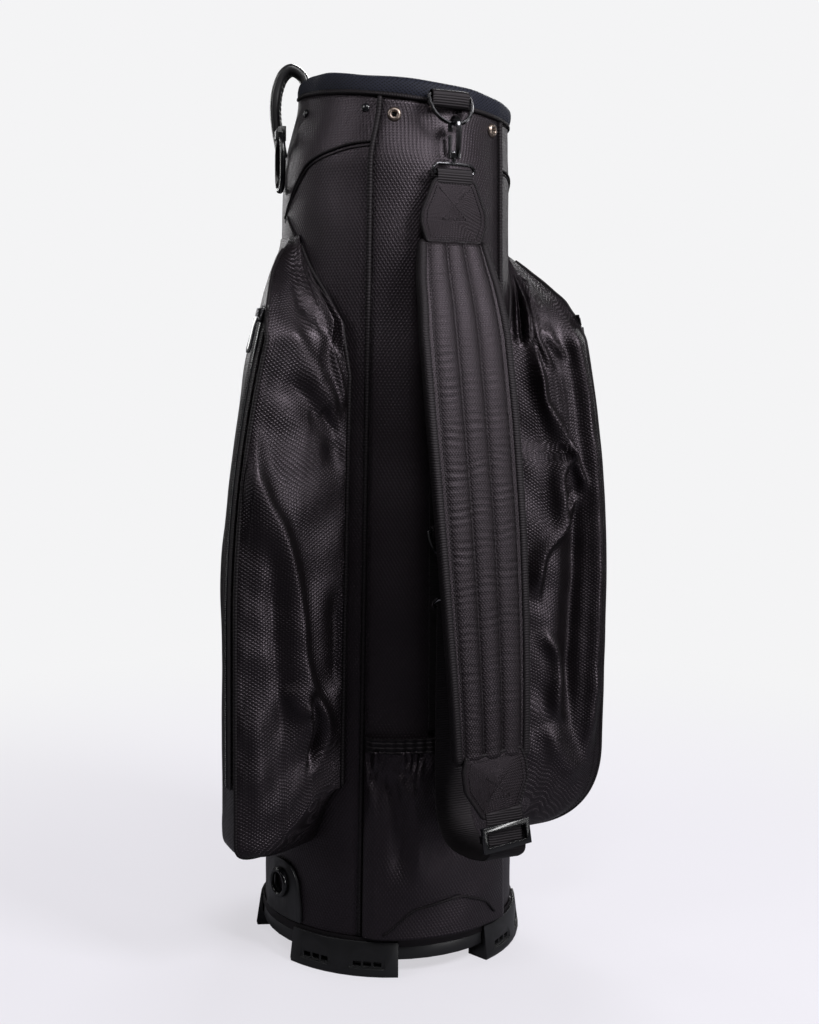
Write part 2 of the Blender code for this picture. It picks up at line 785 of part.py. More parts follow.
def sleeve(name, edge, low, high, stand, thickness, levels, material, taper=0.12):
    """A curved sheet that stands off the tube over the spine and closes at its two side edges."""
    rows = []
    steps = round(2 * edge / FACET) * 2
    for z in np.linspace(low, high, levels):
        row = []
        for turn in np.linspace(-edge, edge, steps + 1):
            u = abs(turn) / edge
            out = stand * min(1.0, (1 - u) / taper) ** 0.5 if u < 1 else 0.0
            radius = tube_radius(z) + 0.0007 + thickness + max(0.0, out)
            row.append((radius * math.sin(turn), -radius * math.cos(turn), z))
        rows.append(row)
    return sheet(name, np.array(rows), thickness, material, STRAP_SIDE)


def make_bottle_pocket():
    edge = math.radians(36)
    sleeve("bottle_pocket", edge, 0.0395, 0.2310, 0.0105, 0.0014, 6, FABRIC)
    sleeve("bottle_pocket_band", edge, 0.2314, 0.2430, 0.0105, 0.0022, 2, WEBBING)


def ribbon(name, path, width, thickness, shifts, parent, material):
    """A flat band along a path of (s, z) in the strap frame, moved sideways by shifts."""
    path = np.array(path)
    tangents = np.gradient(path, axis=0)
    tangents /= np.linalg.norm(tangents, axis=1)[:, None]
    rings = []
    for (s, z), (ts, tz), shift in zip(path, tangents, shifts):
        ring = []
        for side, face in ((-1, -1), (1, -1), (1, 1), (-1, 1)):
            out = face * thickness / 2
            ring.append((shift + side * width / 2, -(s - out * tz), z + out * ts))
        rings.append(np.array(ring))
    return loft(name, rings, material, parent)


def make_spine_webbing():
    half = WEB_W / 2 / 0.1215
    turns = np.linspace(-half, half, 5)
    thickness = 0.0014
    rows = []
    for z in (0.2460, 0.40, 0.60, NECK_Z - 0.001):
        radius = tube_radius(z) + 0.0006 + thickness
        rows.append([(radius * math.sin(t), -radius * math.cos(t), z) for t in turns])
    sheet("spine_webbing", np.array(rows), thickness, WEBBING, STRAP_SIDE)


# ---------------------------------------------------------------- strap hardware


def make_ring_loop(name, bar, back, front, low, high):
    """A short fold of webbing that holds a D-ring's straight bar; its outline is in (s, z)."""
    s, z = bar
    corner = 0.0028
    outline = [
        (back, low),
        (front - corner, low),
        (front, low + corner),
        (front, high - corner),
        (front - corner, high),
        (back, high),
    ]
    outline = [(a - s, b - z) for a, b in outline]
    hole = [(0.0028 * math.cos(a), 0.0028 * math.sin(a)) for a in np.linspace(0, 2 * math.pi, 17)[:-1]]
    loop = plate(name, [outline, hole], WEB_W, WEBBING, STRAP_SIDE)
    loop.location = (0, -s, z)
    loop.rotation_euler = (math.pi / 2, 0, -math.pi / 2)


def make_d_ring(name, bar, bow):
    """A D-shaped wire: a straight bar at the top and a round bow below; bar and bow are (s, z)."""
    half = 0.0230
    depth = math.hypot(bow[0] - bar[0], bow[1] - bar[1])
    ds, dz = (bow[0] - bar[0]) / depth, (bow[1] - bar[1]) / depth
    flat = [(half * math.cos(a), depth * math.sin(a) ** 0.8) for a in np.linspace(0, math.pi, 15)[1:-1]]
    flat = [(half - 0.002, 0.0), (half - 0.0004, 0.0014)] + flat + [
        (-half + 0.0004, 0.0014), (-half + 0.002, 0.0),
    ]
    seat = empty(name + "_seat", STRAP_SIDE, (0, -bar[0], bar[1]))
    points = [(x, -b * ds, b * dz) for x, b in flat]
    return wire(name, points, RING_WIRE_R, GUNMETAL, seat, closed=True)


def make_hook(word, s, drop):
    """A swivel snap hook: the hook, its sprung gate, and the swivel eye that holds the webbing."""
    top = UPPER_BOW_Z + RING_WIRE_R + GAP + HOOK_WIRE_R - drop
    base = 0.8103 - drop
    arch = 0.0090
    path = [(0.0064, base - 0.0006), (0.0082, base + 0.0042), (arch, base + 0.0100)]
    path += [(arch * math.cos(a), top - arch + arch * math.sin(a)) for a in np.linspace(0, math.pi, 9)]
    path += [(-arch, base + 0.0240)]
    hook = wire(f"{word}_hook", [(0, -(s + out), z) for out, z in path], HOOK_WIRE_R, GUNMETAL, STRAP_SIDE)
    hook = as_mesh(hook)
    collar = turned(
        f"{word}_hook_collar",
        [(0.0066, 0.0023), (0.0066, -0.0023), (0.0025, -0.0023), (0.0025, 0.0023)],
        GUNMETAL,
        STRAP_SIDE,
        (0, -s, base),
        steps=20,
    )
    combine(hook, collar, "UNION")
    seat = empty(f"{word}_gate_seat", STRAP_SIDE, (0, -(s - arch), base + 0.0036))
    rod(f"{word}_hook_gate", 0.0019, 0.0170, GUNMETAL, seat, (0, 0, 0.0088), sides=12)

    bar_z = 0.7945 - drop
    shoulder_z = 0.8030 - drop
    half = 0.0216
    loop = [
        (-0.004, shoulder_z), (-0.0175, shoulder_z - 0.0006), (-half, shoulder_z - 0.0040),
        (-half - 0.0006, bar_z + 0.002),
    ]
    loop += [(-half + 0.001, bar_z), (half - 0.001, bar_z)]
    loop += [(-x, z) for x, z in loop[:4]][::-1]
    loop_path = [(x, -s, z) for x, z in loop]
    eye = wire(f"{word}_swivel_eye", loop_path, EYE_WIRE_R, GUNMETAL, STRAP_SIDE, closed=True)
    eye = as_mesh(eye)
    stud = turned(
        f"{word}_stud",
        [
            (0, base + 0.0048), (0.0026, base + 0.0044), (0.0034, base + 0.0028),
            (0.0034, base + 0.0026), (0.0021, base + 0.0026), (0.0021, shoulder_z - 0.0008),
            (0, shoulder_z - 0.0008),
        ],
        GUNMETAL,
        STRAP_SIDE,
        (0, -s, 0),
        steps=16,
    )
    combine(eye, stud, "UNION")


def make_hardware():
    make_ring_loop("upper_ring_loop", UPPER_BAR, 0.1145, 0.1230, 0.8628, 0.8746)
    make_d_ring("upper_d_ring", UPPER_BAR, (HOOK_S, UPPER_BOW_Z))
    make_hook("upper", HOOK_S, 0.0)
    make_ring_loop("lower_ring_loop", LOWER_BAR, 0.1274, 0.1360, 0.4432, 0.4555)
    make_d_ring("lower_d_ring", LOWER_BAR, (LOWER_HOOK_S, UPPER_BOW_Z - LOWER_DROP))
    make_hook("lower", LOWER_HOOK_S, LOWER_DROP)


# ---------------------------------------------------------------- shoulder strap

PAD_FRONT = (
    (0.7300, 0.1350), (0.7000, 0.1455), (0.6600, 0.1600), (0.6000, 0.1750), (0.5300, 0.1900),
    (0.4600, 0.2035), (0.3800, 0.2160), (0.3000, 0.2260), (0.2490, 0.2300),
)
PAD_WIDTH = (
    (0.7300, 0.0720), (0.6900, 0.0860), (0.6400, 0.0950), (0.5600, 0.0960), (0.4500, 0.0930),
    (0.3500, 0.0870), (0.2490, 0.0790),
)


def make_pad():
    """The padded band, bowing out from the bag as it hangs."""
    heights = np.linspace(PAD_FRONT[0][0], PAD_FRONT[-1][0], 15)
    front = np.array(PAD_FRONT)[::-1]
    width = np.array(PAD_WIDTH)[::-1]
    s = np.interp(heights, front[:, 0], front[:, 1]) - PAD_T / 2
    half = np.interp(heights, width[:, 0], width[:, 1]) / 2
    slopes = np.gradient(s, heights)
    rings = []
    for z, out, w, slope in zip(heights, s, half, slopes):
        n = np.array([1, -slope]) / math.hypot(1, slope)
        ring = [(b, -(out + a * n[0]), z + a * n[1]) for a, b in rounded_section(PAD_T / 2, w, 0.5)]
        rings.append(np.array(ring))
    loft("shoulder_pad", rings, FABRIC, STRAP_SIDE)


def make_top_tab():
    """The stitched tab over the pad's top, with the webbing that turns round the swivel eye."""
    middle_z = 0.7600
    outline = [
        (-0.0185, 0.0285), (0.0185, 0.0285), (0.0225, 0.0255), (0.0345, -0.0040), (0.0345, -0.0120),
        (0.0250, -0.0270), (-0.0250, -0.0270), (-0.0345, -0.0120), (-0.0345, -0.0040),
        (-0.0225, 0.0255),
    ]
    tab = plate("strap_top_tab", [outline], TAB_T, FABRIC, STRAP_SIDE)
    tab.location = (0, -HOOK_S, middle_z)
    tab.rotation_euler = (math.pi / 2, 0, 0)
    tab = as_mesh(tab)
    bar_z = 0.7945
    turn_r = EYE_WIRE_R + 0.0006 + WEB_T / 2
    path = [(HOOK_S + 0.0005, 0.7700), (HOOK_S + 0.0010, 0.7860), (HOOK_S + 0.0026, 0.7912)]
    turns = np.linspace(0, math.radians(225), 9)
    path += [(HOOK_S + turn_r * math.cos(a), bar_z + turn_r * math.sin(a)) for a in turns]
    web = ribbon("top_webbing_turn", path, 0.0380, WEB_T, [0] * len(path), STRAP_SIDE, WEBBING)
    combine(tab, web, "UNION")


def make_bottom_tab():
    outline = [
        (-0.0300, 0.0265), (0.0300, 0.0265), (0.0340, 0.0200), (0.0340, 0.0020), (0.0190, -0.0265),
        (-0.0190, -0.0265), (-0.0340, 0.0020), (-0.0340, 0.0200),
    ]
    tab = plate("strap_bottom_tab", [outline], TAB_T, FABRIC, STRAP_SIDE)
    tab.location = (0.0035, -0.2290, 0.2172)
    tab.rotation_euler = (math.pi / 2 - math.radians(5), -BUCKLE_LEAN, 0)


def make_strap_webbing():
    """The band from the bottom tab, through the buckle, round a loose bend and up to the lower hook."""
    slope = 0.0030 / 0.030
    straight = [(BUCKLE_S + slope * (BUCKLE_Z - z), z) for z in (0.1893, 0.1800, 0.1660, 0.1560)]
    bend = smooth_path(
        [
            (0.2385, 0.1540),
            (0.2290, 0.1478),
            (0.2060, 0.1440),
            (0.1800, 0.1460),
            (0.1590, 0.1560),
            (0.1498, 0.1750),
            (0.1472, 0.2020),
            (0.1464, 0.2400),
            (0.1461, 0.3000),
            (0.1460, 0.3560),
        ],
        2,
    )
    bar_z = 0.7945 - LOWER_DROP
    turn_r = EYE_WIRE_R + 0.0006 + WEB_T / 2
    turns = np.linspace(0, math.radians(215), 8)
    curl = [(LOWER_HOOK_S + turn_r * math.cos(a), bar_z + turn_r * math.sin(a)) for a in turns]
    path = np.array(straight + list(bend[1:]) + curl)
    steps = np.linalg.norm(np.diff(path, axis=0), axis=1)
    along = np.concatenate([[0], np.cumsum(steps)])
    leaning = along < 0.034
    settle = np.clip((along - 0.034) / 0.070, 0, 1)
    lean = math.tan(BUCKLE_LEAN)
    start = BUCKLE_X - lean * (0.1893 - BUCKLE_Z)
    shifts = np.where(
        leaning, start + lean * along,
        (start + lean * 0.034) * (1 - settle * settle * (3 - 2 * settle)),
    )
    ribbon("strap_webbing", path, 0.0380, WEB_T, shifts, STRAP_SIDE, WEBBING)


def make_buckle():
    """A ladder buckle: a front frame, and a bar behind the webbing that its two sides carry."""
    seat = empty(
        "buckle_seat", STRAP_SIDE, (BUCKLE_X, -BUCKLE_S, BUCKLE_Z),
        (math.radians(-5.5), -BUCKLE_LEAN, 0),
    )
    depth = 0.0045
    front = -(WEB_T / 2 + 0.0007 + depth / 2)
    buckle = box("slider_buckle", (0.0500, depth, 0.0240), GLOSS, seat, (0, front, 0))
    window = box("buckle_window_cut", (0.0412, 0.02, 0.0140), GLOSS, seat, (0, front, 0))
    combine(buckle, window, "DIFFERENCE")
    back = WEB_T / 2 + 0.0007
    for side in (-1, 1):
        size = (0.0036, back + 0.0024 - front, 0.0070)
        place = (side * 0.0226, (back + 0.0024 + front) / 2, 0)
        combine(buckle, box(f"buckle_side_{side}", size, GLOSS, seat, place), "UNION")
    bar = box("buckle_bar", (0.0480, 0.0024, 0.0050), GLOSS, seat, (0, back + 0.0012, 0))
    combine(buckle, bar, "UNION")


def make_strap():
    make_pad()
    make_top_tab()
    make_bottom_tab()
    make_strap_webbing()
    make_buckle()


# ---------------------------------------------------------------- the bag

make_tube()
make_base()
make_eyelet()
make_collar()
make_dividers()
make_stays()
make_handle()
make_towel_ring()
make_snaps()
make_side_pocket(-1, 0.128, 0.030, 5)
make_side_pocket(1, 0.112, 0.095, 2.5)
front_pocket("ball", 0.100, 0.375, 0.086, 0.205, 0.335, 0.050)
front_pocket("accessory", 0.405, 0.690, 0.072, 0.162, 0.640, 0.040)
make_bottle_pocket()
make_spine_webbing()
make_hardware()
make_strap()
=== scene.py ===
"""Golf cart bag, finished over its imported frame: sewn cloth, webbing, moulded parts and hardware.

Lengths are metres. The strap frame has its origin on the tube's axis at the floor and is turned about Z
so that the shoulder strap hangs on its -Y side; s is the distance out from the axis towards the strap."""

import json
import math

import bmesh
import bpy
import numpy as np
from mathutils import Matrix, Vector


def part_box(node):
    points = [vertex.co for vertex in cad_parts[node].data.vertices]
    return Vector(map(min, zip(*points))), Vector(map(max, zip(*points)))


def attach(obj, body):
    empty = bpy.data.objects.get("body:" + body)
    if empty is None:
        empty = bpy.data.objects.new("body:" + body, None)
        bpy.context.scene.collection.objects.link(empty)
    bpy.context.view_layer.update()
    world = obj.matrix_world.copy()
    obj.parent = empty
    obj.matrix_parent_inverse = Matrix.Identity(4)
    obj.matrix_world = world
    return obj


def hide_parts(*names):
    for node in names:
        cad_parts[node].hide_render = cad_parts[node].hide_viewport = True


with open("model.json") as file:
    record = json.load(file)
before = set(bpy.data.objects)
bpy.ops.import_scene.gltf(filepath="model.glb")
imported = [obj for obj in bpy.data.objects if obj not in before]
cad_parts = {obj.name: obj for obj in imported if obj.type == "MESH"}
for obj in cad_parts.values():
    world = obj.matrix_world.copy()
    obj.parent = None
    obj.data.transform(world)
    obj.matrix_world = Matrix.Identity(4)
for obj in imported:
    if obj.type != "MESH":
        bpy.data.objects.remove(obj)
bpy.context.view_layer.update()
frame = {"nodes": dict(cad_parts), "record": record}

# ---------------------------------------------------------------- places taken from the frame

CUP_LOW, CUP_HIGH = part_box("base_cup")
AXIS = np.array([(CUP_LOW[0] + CUP_HIGH[0]) / 2, (CUP_LOW[1] + CUP_HIGH[1]) / 2, 0])
STRAP_TURN = math.radians(26)

TUBE_FOOT_R = 0.1347
TUBE_NECK_R = 0.1170
TUBE_BOTTOM_Z = 0.0295
NECK_Z = 0.80
SEAM_TURN = math.radians(37.5)
COLLAR_X = 0.0067
COLLAR_Z = 0.8652
COLLAR_R = 0.1085
COLLAR_TILT = math.radians(6.5)

POCKET_X = 0.2095
POCKET_Y = -0.098
POCKET_ARC_R = 1.2
POCKET_ARC_Z = 0.36
POCKET_SEAM = math.radians(45.5)
POCKET_BACK = math.radians(127.5)
ZIP_Y = POCKET_Y + 0.020
ZIP_PITCH = 0.0022
ZIP_COIL_WIDTH = 0.0046
WAVE = 6.28  # radians in one wave of a ripple


# ---------------------------------------------------------------- shapes


def ease(t):
    """Smooth step from 0 to 1."""
    t = np.clip(t, 0, 1)
    return t * t * (3 - 2 * t)


def bell(x, width):
    """Gaussian bump of height 1."""
    return np.exp(-((x / width) ** 2))


def strap_place(points):
    """Strap frame to world: turned about Z by STRAP_TURN, then moved to the tube's axis."""
    c, s = math.cos(STRAP_TURN), math.sin(STRAP_TURN)
    x, y, z = np.moveaxis(np.asarray(points, float), -1, 0)
    return np.stack([c * x - s * y, s * x + c * y, z], -1) + AXIS


def collar_place(points):
    """Collar frame to world: tilted about Y, then moved to the collar's centre."""
    c, s = math.cos(COLLAR_TILT), math.sin(COLLAR_TILT)
    x, y, z = np.moveaxis(np.asarray(points, float), -1, 0)
    return np.stack([c * x + s * z + COLLAR_X, y, c * z - s * x + COLLAR_Z], -1) + AXIS


def millimetres(*points):
    return np.array(points) / 1000


def strap_turned(directions):
    """Directions of the strap frame, in the world."""
    return strap_place(directions) - AXIS


def round_axis(radius, turn, z, facing=-1):
    """Points at a radius, a turn from the -Y side (the +Y side when facing is 1) and a height."""
    return np.stack(np.broadcast_arrays(radius * np.sin(turn), facing * radius * np.cos(turn), z), -1)


def from_axis(points):
    """The level way out from the tube's axis to each point."""
    return (points - AXIS) * (1, 1, 0)


def soft_kernel(reach, width):
    """Weights for a running average, bell-shaped, that add up to 1."""
    kernel = bell(np.arange(-reach, reach + 1), width)
    return kernel / kernel.sum()


def ease_line(values, reach=4):
    """A row of numbers averaged with its neighbours, its ends kept."""
    wide = np.concatenate([np.repeat(values[:1], reach), values, np.repeat(values[-1:], reach)])
    return np.convolve(wide, soft_kernel(reach, reach / 2), "valid")


def unit(v):
    """Vectors brought to length 1."""
    return v / np.maximum(np.linalg.norm(v, axis=-1, keepdims=True), 1e-9)


def lengths(points, axis=0):
    """Distance run along an axis of a grid of points, from 0."""
    steps = np.linalg.norm(np.diff(points, axis=axis), axis=-1)
    start = np.zeros_like(np.take(steps, [0], axis=axis))
    return np.concatenate([start, np.cumsum(steps, axis=axis)], axis=axis)


def even_path(points, step):
    """A Catmull-Rom curve through the points, walked in equal steps."""
    p = np.asarray(points, float)
    p = np.concatenate([[2 * p[0] - p[1]], p, [2 * p[-1] - p[-2]]])
    t = np.linspace(0, 1, 24, endpoint=False)[:, None, None]
    a, b, c, d = p[None, :-3], p[None, 1:-2], p[None, 2:-1], p[None, 3:]
    curve = b + 0.5 * ((c - a) * t + (2 * a - 5 * b + 4 * c - d) * t**2 + (3 * b - a - 3 * c + d) * t**3)
    curve = np.concatenate([curve.transpose(1, 0, 2).reshape(-1, p.shape[1]), p[-2:-1]])
    run = lengths(curve)
    at = np.linspace(0, run[-1], max(2, round(run[-1] / step) + 1))
    return np.stack([np.interp(at, run, axis) for axis in curve.T], -1)


def face_outwards(mesh):
    work = bmesh.new()
    work.from_mesh(mesh)
    bmesh.ops.recalc_face_normals(work, faces=work.faces)
    work.to_mesh(mesh)
    work.free()


def grid_mesh(name, points, around=False, ends=False, recalculate=False):
    """Quads between neighbours of a rows x columns grid of points, with a UV map of real lengths.

    around joins the last column to the first; ends closes the first and last rows with a fan."""
    rows, columns = points.shape[:2]
    wide = np.concatenate([points, points[:, :1]], 1) if around else points
    u, v = lengths(wide, 1), lengths(wide, 0)
    u, v = u - u[:, columns // 2, None], v - v[rows // 2]
    i, j = np.meshgrid(np.arange(rows - 1), np.arange(wide.shape[1] - 1), indexing="ij")
    corners = [(i, j), (i, j + 1), (i + 1, j + 1), (i + 1, j)]
    faces = np.stack([a * columns + b % columns for a, b in corners], -1).reshape(-1, 4)
    uv = np.stack([np.stack([u[a, b], v[a, b]], -1) for a, b in corners], 2).reshape(-1, 2)
    vertices = points.reshape(-1, 3)
    polygons = faces.tolist()
    if ends:
        middles = np.stack([points[0].mean(0), points[-1].mean(0)])
        first, last = len(vertices), len(vertices) + 1
        vertices = np.concatenate([vertices, middles])
        k = np.arange(columns)
        turn = np.roll(k, -1)
        base = (rows - 1) * columns
        low = np.stack([turn, k, np.full_like(k, first)], -1)
        high = np.stack([base + k, base + turn, np.full_like(k, last)], -1)
        polygons += low.tolist() + high.tolist()
        uv = np.concatenate([uv, vertices[np.concatenate([low, high]).reshape(-1)][:, :2]])
    mesh = bpy.data.meshes.new(name)
    mesh.from_pydata(vertices.tolist(), [], polygons)
    mesh.uv_layers.new(name="cloth").data.foreach_set("uv", uv.reshape(-1))
    if recalculate:
        face_outwards(mesh)
    mesh.shade_smooth()
    return mesh


def piece(name, mesh, material, body, replaces=()):
    """A finished piece: it rides on a body, takes the material it is given, and may stand for CAD nodes."""
    obj = bpy.data.objects.new(name, mesh)
    bpy.context.scene.collection.objects.link(obj)
    mesh.materials.append(material)
    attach(obj, body)
    if replaces:
        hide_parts(*replaces)
    return obj


def closed_piece(name, rings, material, replaces=(), body="bag"):
    """A piece made of rings, capped at both ends."""
    return piece(name, grid_mesh(name, rings, True, True, True), material, body, replaces)


def thicken(obj, thickness):
    """Cloth's thickness, laid inwards."""
    wall = obj.modifiers.new("wall", "SOLIDIFY")
    wall.thickness = thickness
    wall.offset = -1


def swept(path, normals, section, closed=False):
    """A section of (side, out) points carried along a path: side is across it, out is along its normals."""
    section = np.broadcast_to(section, (len(path), *np.shape(section)[-2:]))
    if closed:
        tangents = unit(np.roll(path, -1, 0) - np.roll(path, 1, 0))
    else:
        tangents = unit(np.gradient(path, axis=0))
    out = unit(normals - tangents * (normals * tangents).sum(-1, keepdims=True))
    side = np.cross(tangents, out)
    rings = path[:, None] + section[..., :1] * side[:, None] + section[..., 1:] * out[:, None]
    return np.concatenate([rings, rings[:1]]) if closed else rings


def circle(radius, count=10):
    """A round section."""
    a = np.linspace(0, 2 * math.pi, count, endpoint=False)
    return radius * np.stack([np.cos(a), np.sin(a)], -1)


def slab(width, thickness, count=24, power=5):
    """A flat rounded section: a superellipse, wide across and thin outwards."""
    a = np.linspace(0, 2 * math.pi, count, endpoint=False)
    c, s = np.cos(a), np.sin(a)
    return np.stack(
        [width / 2 * np.sign(c) * abs(c) ** (2 / power), thickness / 2 * np.sign(s) * abs(s) ** (2 / power)],
        -1,
    )


def dashes(name, path, normals, pitch=0.0034, length=0.0022, width=0.0008, rise=0.0005):
    """Stitches: one small raised bar for each pitch of a path, each of five faces."""
    run = lengths(path)
    at = np.arange(pitch / 2, run[-1], pitch)
    ends = np.stack([at - length / 2, at + length / 2], 1)
    place = np.stack([np.interp(ends, run, axis) for axis in path.T], -1)
    out = np.stack([np.interp(at, run, axis) for axis in np.asarray(normals).T], -1)
    side = unit(np.cross(place[:, 1] - place[:, 0], out)) * width / 2
    a, b = place[:, 0], place[:, 1]
    lift = unit(out) * rise
    corners = np.stack([a - side, a + side, b + side, b - side], 1)
    crown = corners + lift[:, None] + 0.25 * (corners.mean(1, keepdims=True) - corners)
    vertices = np.concatenate([corners - lift[:, None] * 0.6, crown], 1).reshape(-1, 3)
    block = np.array([[4, 5, 6, 7], [0, 1, 5, 4], [1, 2, 6, 5], [2, 3, 7, 6], [3, 0, 4, 7], [3, 2, 1, 0]])
    faces = (np.arange(len(at))[:, None, None] * 8 + block).reshape(-1, 4)
    mesh = bpy.data.meshes.new(name)
    mesh.from_pydata(vertices.tolist(), [], faces.tolist())
    face_outwards(mesh)
    return mesh


def stitched(name, path, normals, *sizes, body="bag"):
    piece(name, dashes(name, path, normals, *sizes), THREAD, body)


def zip_teeth(name, path, normals):
    sizes = (ZIP_PITCH, ZIP_PITCH / 2, ZIP_COIL_WIDTH, 0.0005)
    piece(name, dashes(name, path, normals, *sizes), GLOSSY, "bag")


def waves(x, y, seed, scale, count=14):
    """Sum of plane waves of random direction and phase, about 1 high: cloth that isn't quite flat."""
    rng = np.random.default_rng(seed)
    total = np.zeros(np.broadcast(x, y).shape)
    for angle, phase, stretch in zip(
        rng.uniform(0, math.pi, count), rng.uniform(0, WAVE, count), rng.uniform(0.6, 1.8, count),
    ):
        total += np.cos((x * math.cos(angle) + y * math.sin(angle)) * stretch * WAVE / scale + phase)
    return total / math.sqrt(count)


def fold(x, z, line, left, right, height, ends):
    """A ridge of cloth along a line of (x, z) points: a bell across it, with its own width on each side.

    left and right are as seen when travelling along the line. It dies away over a share of both ends."""
    line = even_path(line, 0.008)
    spot = np.stack(np.broadcast_arrays(x, z), -1)[..., None, :]
    step = np.diff(line, axis=0)
    size = np.linalg.norm(step, axis=-1)
    t = np.clip(((spot - line[:-1]) * step).sum(-1) / size**2, 0, 1)
    off = spot - line[:-1] - t[..., None] * step
    far = np.linalg.norm(off, axis=-1)
    nearest = far.argmin(-1)[..., None]
    turned = step[:, 0] * off[..., 1] - step[:, 1] * off[..., 0]
    along = (lengths(line)[:-1] + t * size) / size.sum()
    far, turned, along = (np.take_along_axis(v, nearest, -1)[..., 0] for v in (far, turned, along))
    return height * ease(along / ends) * ease((1 - along) / ends) * bell(
        far, np.where(turned > 0, left, right),
    )


def folded(x, z, folds):
    """The sum of a table of folds."""
    total = 0.0
    for left, right, height, ends, *line in folds:
        total = total + fold(x, z, millimetres(*line), left / 1000, right / 1000, height / 1000, ends)
    return total


# ---------------------------------------------------------------- materials


def hex_linear(code):
    """An sRGB hex colour as linear RGBA."""
    parts = [int(code[i : i + 2], 16) / 255 for i in (1, 3, 5)]
    return (*[c / 12.92 if c <= 0.04045 else ((c + 0.055) / 1.055) ** 2.4 for c in parts], 1)


def node(tree, kind, settings=None, inputs=None):
    """Adds a node, with its settings, and its sockets either linked or set."""
    made = tree.nodes.new(kind)
    for key, value in (settings or {}).items():
        setattr(made, key, value)
    for key, value in (inputs or {}).items():
        if isinstance(value, bpy.types.NodeSocket):
            tree.links.new(value, made.inputs[key])
        else:
            made.inputs[key].default_value = value
    return made


def maths(tree, operation, *values):
    return node(tree, "ShaderNodeMath", {"operation": operation}, dict(enumerate(values))).outputs[0]


def mixed(tree, share, first, second, how="MIX"):
    """A colour between two others."""
    settings = {"data_type": "RGBA", "blend_type": how}
    return node(tree, "ShaderNodeMix", settings, {0: share, 6: first, 7: second}).outputs[2]


def start_material(name, roughness, metallic=0.0, constants=None):
    """A material with its Principled shader, and its constant sockets set."""
    material = bpy.data.materials.new(name)
    material.use_nodes = True
    tree = material.node_tree
    shader = tree.nodes["Principled BSDF"]
    shader.inputs["Roughness"].default_value = roughness
    shader.inputs["Metallic"].default_value = metallic
    for key, value in (constants or {}).items():
        shader.inputs[key].default_value = value
    return material, tree, shader


def cloth_axes(tree):
    """The cloth UV's two coordinates, in metres."""
    uv = node(tree, "ShaderNodeUVMap", {"uv_map": "cloth"})
    return node(tree, "ShaderNodeSeparateXYZ", inputs={0: uv.outputs[0]}).outputs


def lattice(tree, pitch_u, pitch_v, lower=-0.2, upper=0.8):
    """Raised diamonds: the product of a cosine along u and one along v, clipped flat on top."""
    axes = cloth_axes(tree)
    along = maths(tree, "COSINE", maths(tree, "MULTIPLY", axes[0], 2 * math.pi / pitch_u))
    across = maths(tree, "COSINE", maths(tree, "MULTIPLY", axes[1], 2 * math.pi / pitch_v))
    clip = {0: maths(tree, "MULTIPLY", along, across), 1: lower, 2: upper}
    return node(tree, "ShaderNodeMapRange", {"interpolation_type": "SMOOTHSTEP"}, clip).outputs[0]


def fine_noise(tree, scale, detail=3.0):
    """Noise in object coordinates, with features of about 1 / scale metres."""
    where = node(tree, "ShaderNodeTexCoord").outputs["Object"]
    inputs = {"Vector": where, "Scale": scale, "Detail": detail}
    return node(tree, "ShaderNodeTexNoise", inputs=inputs).outputs["Fac"]


def mottled(tree, dark, light, scale):
    """A colour that drifts between two shades in patches of about 1 / scale metres."""
    return mixed(tree, fine_noise(tree, scale, 4.0), hex_linear(dark), hex_linear(light))


def bumped(tree, shader, height, distance, strength=1.0):
    bump = node(
        tree, "ShaderNodeBump", inputs={"Height": height, "Distance": distance, "Strength": strength},
    )
    tree.links.new(bump.outputs[0], shader.inputs["Normal"])


def weave_cloth(name, pitch_u, pitch_v, dark="#0a0709", light="#141014", gloss=(0.48, 0.32), specular=0.5):
    """Coated nylon in a diamond dobby weave: dark, with a satin sheen that the raised diamonds catch."""
    # The coating's tint gives the sheen its faint plum cast; the lower the level, the drier the cloth.
    sheen = {"Specular Tint": (1.0, 0.85, 0.98, 1), "Specular IOR Level": specular}
    material, tree, shader = start_material(name, 0.36, constants=sheen)
    # Diamonds 3 to 6 mm apart are coarser than most real dobby cloth, so that the weave shows at arm's length.
    diamonds = lattice(tree, pitch_u, pitch_v)
    ground = mottled(tree, dark, light, 9.0)
    tree.links.new(mixed(tree, 0.70, ground, diamonds, "MULTIPLY"), shader.inputs["Base Color"])
    finish = node(tree, "ShaderNodeMapRange", inputs={0: diamonds, 3: gloss[0], 4: gloss[1]})
    tree.links.new(finish.outputs[0], shader.inputs["Roughness"])
    bumped(tree, shader, diamonds, 0.0004, 0.75)
    return material


def ribbed_cloth(name, pitch, colour=("#040304", "#080708")):
    """Woven tape: matt black with fine ribs across it."""
    sheen = {"Specular Tint": (0.95, 0.86, 0.94, 1), "Specular IOR Level": 0.30}
    material, tree, shader = start_material(name, 0.62, constants=sheen)
    ribs = maths(tree, "SINE", maths(tree, "MULTIPLY", cloth_axes(tree)[1], 2 * math.pi / pitch))
    tree.links.new(mottled(tree, *colour, 60.0), shader.inputs["Base Color"])
    bumped(tree, shader, ribs, 0.00022, 0.6)
    return material


def air_mesh():
    """Spacer mesh: dark navy yarn round small round holes, with almost no gloss."""
    material, tree, shader = start_material("spacer_mesh_navy", 0.7, constants={"Specular IOR Level": 0.22})
    # The real holes are 1.5 mm apart; they are drawn 3.2 mm apart, to show at arm's length.
    holes = lattice(tree, 0.0032, 0.0045, 0.15, 0.5)
    # The holes are painted near-black: painted shade inside them.
    colour = mixed(tree, holes, hex_linear("#1b1d2a"), hex_linear("#030306"))
    tree.links.new(colour, shader.inputs["Base Color"])
    bumped(tree, shader, maths(tree, "SUBTRACT", 1.0, holes), 0.0007, 0.9)
    return material


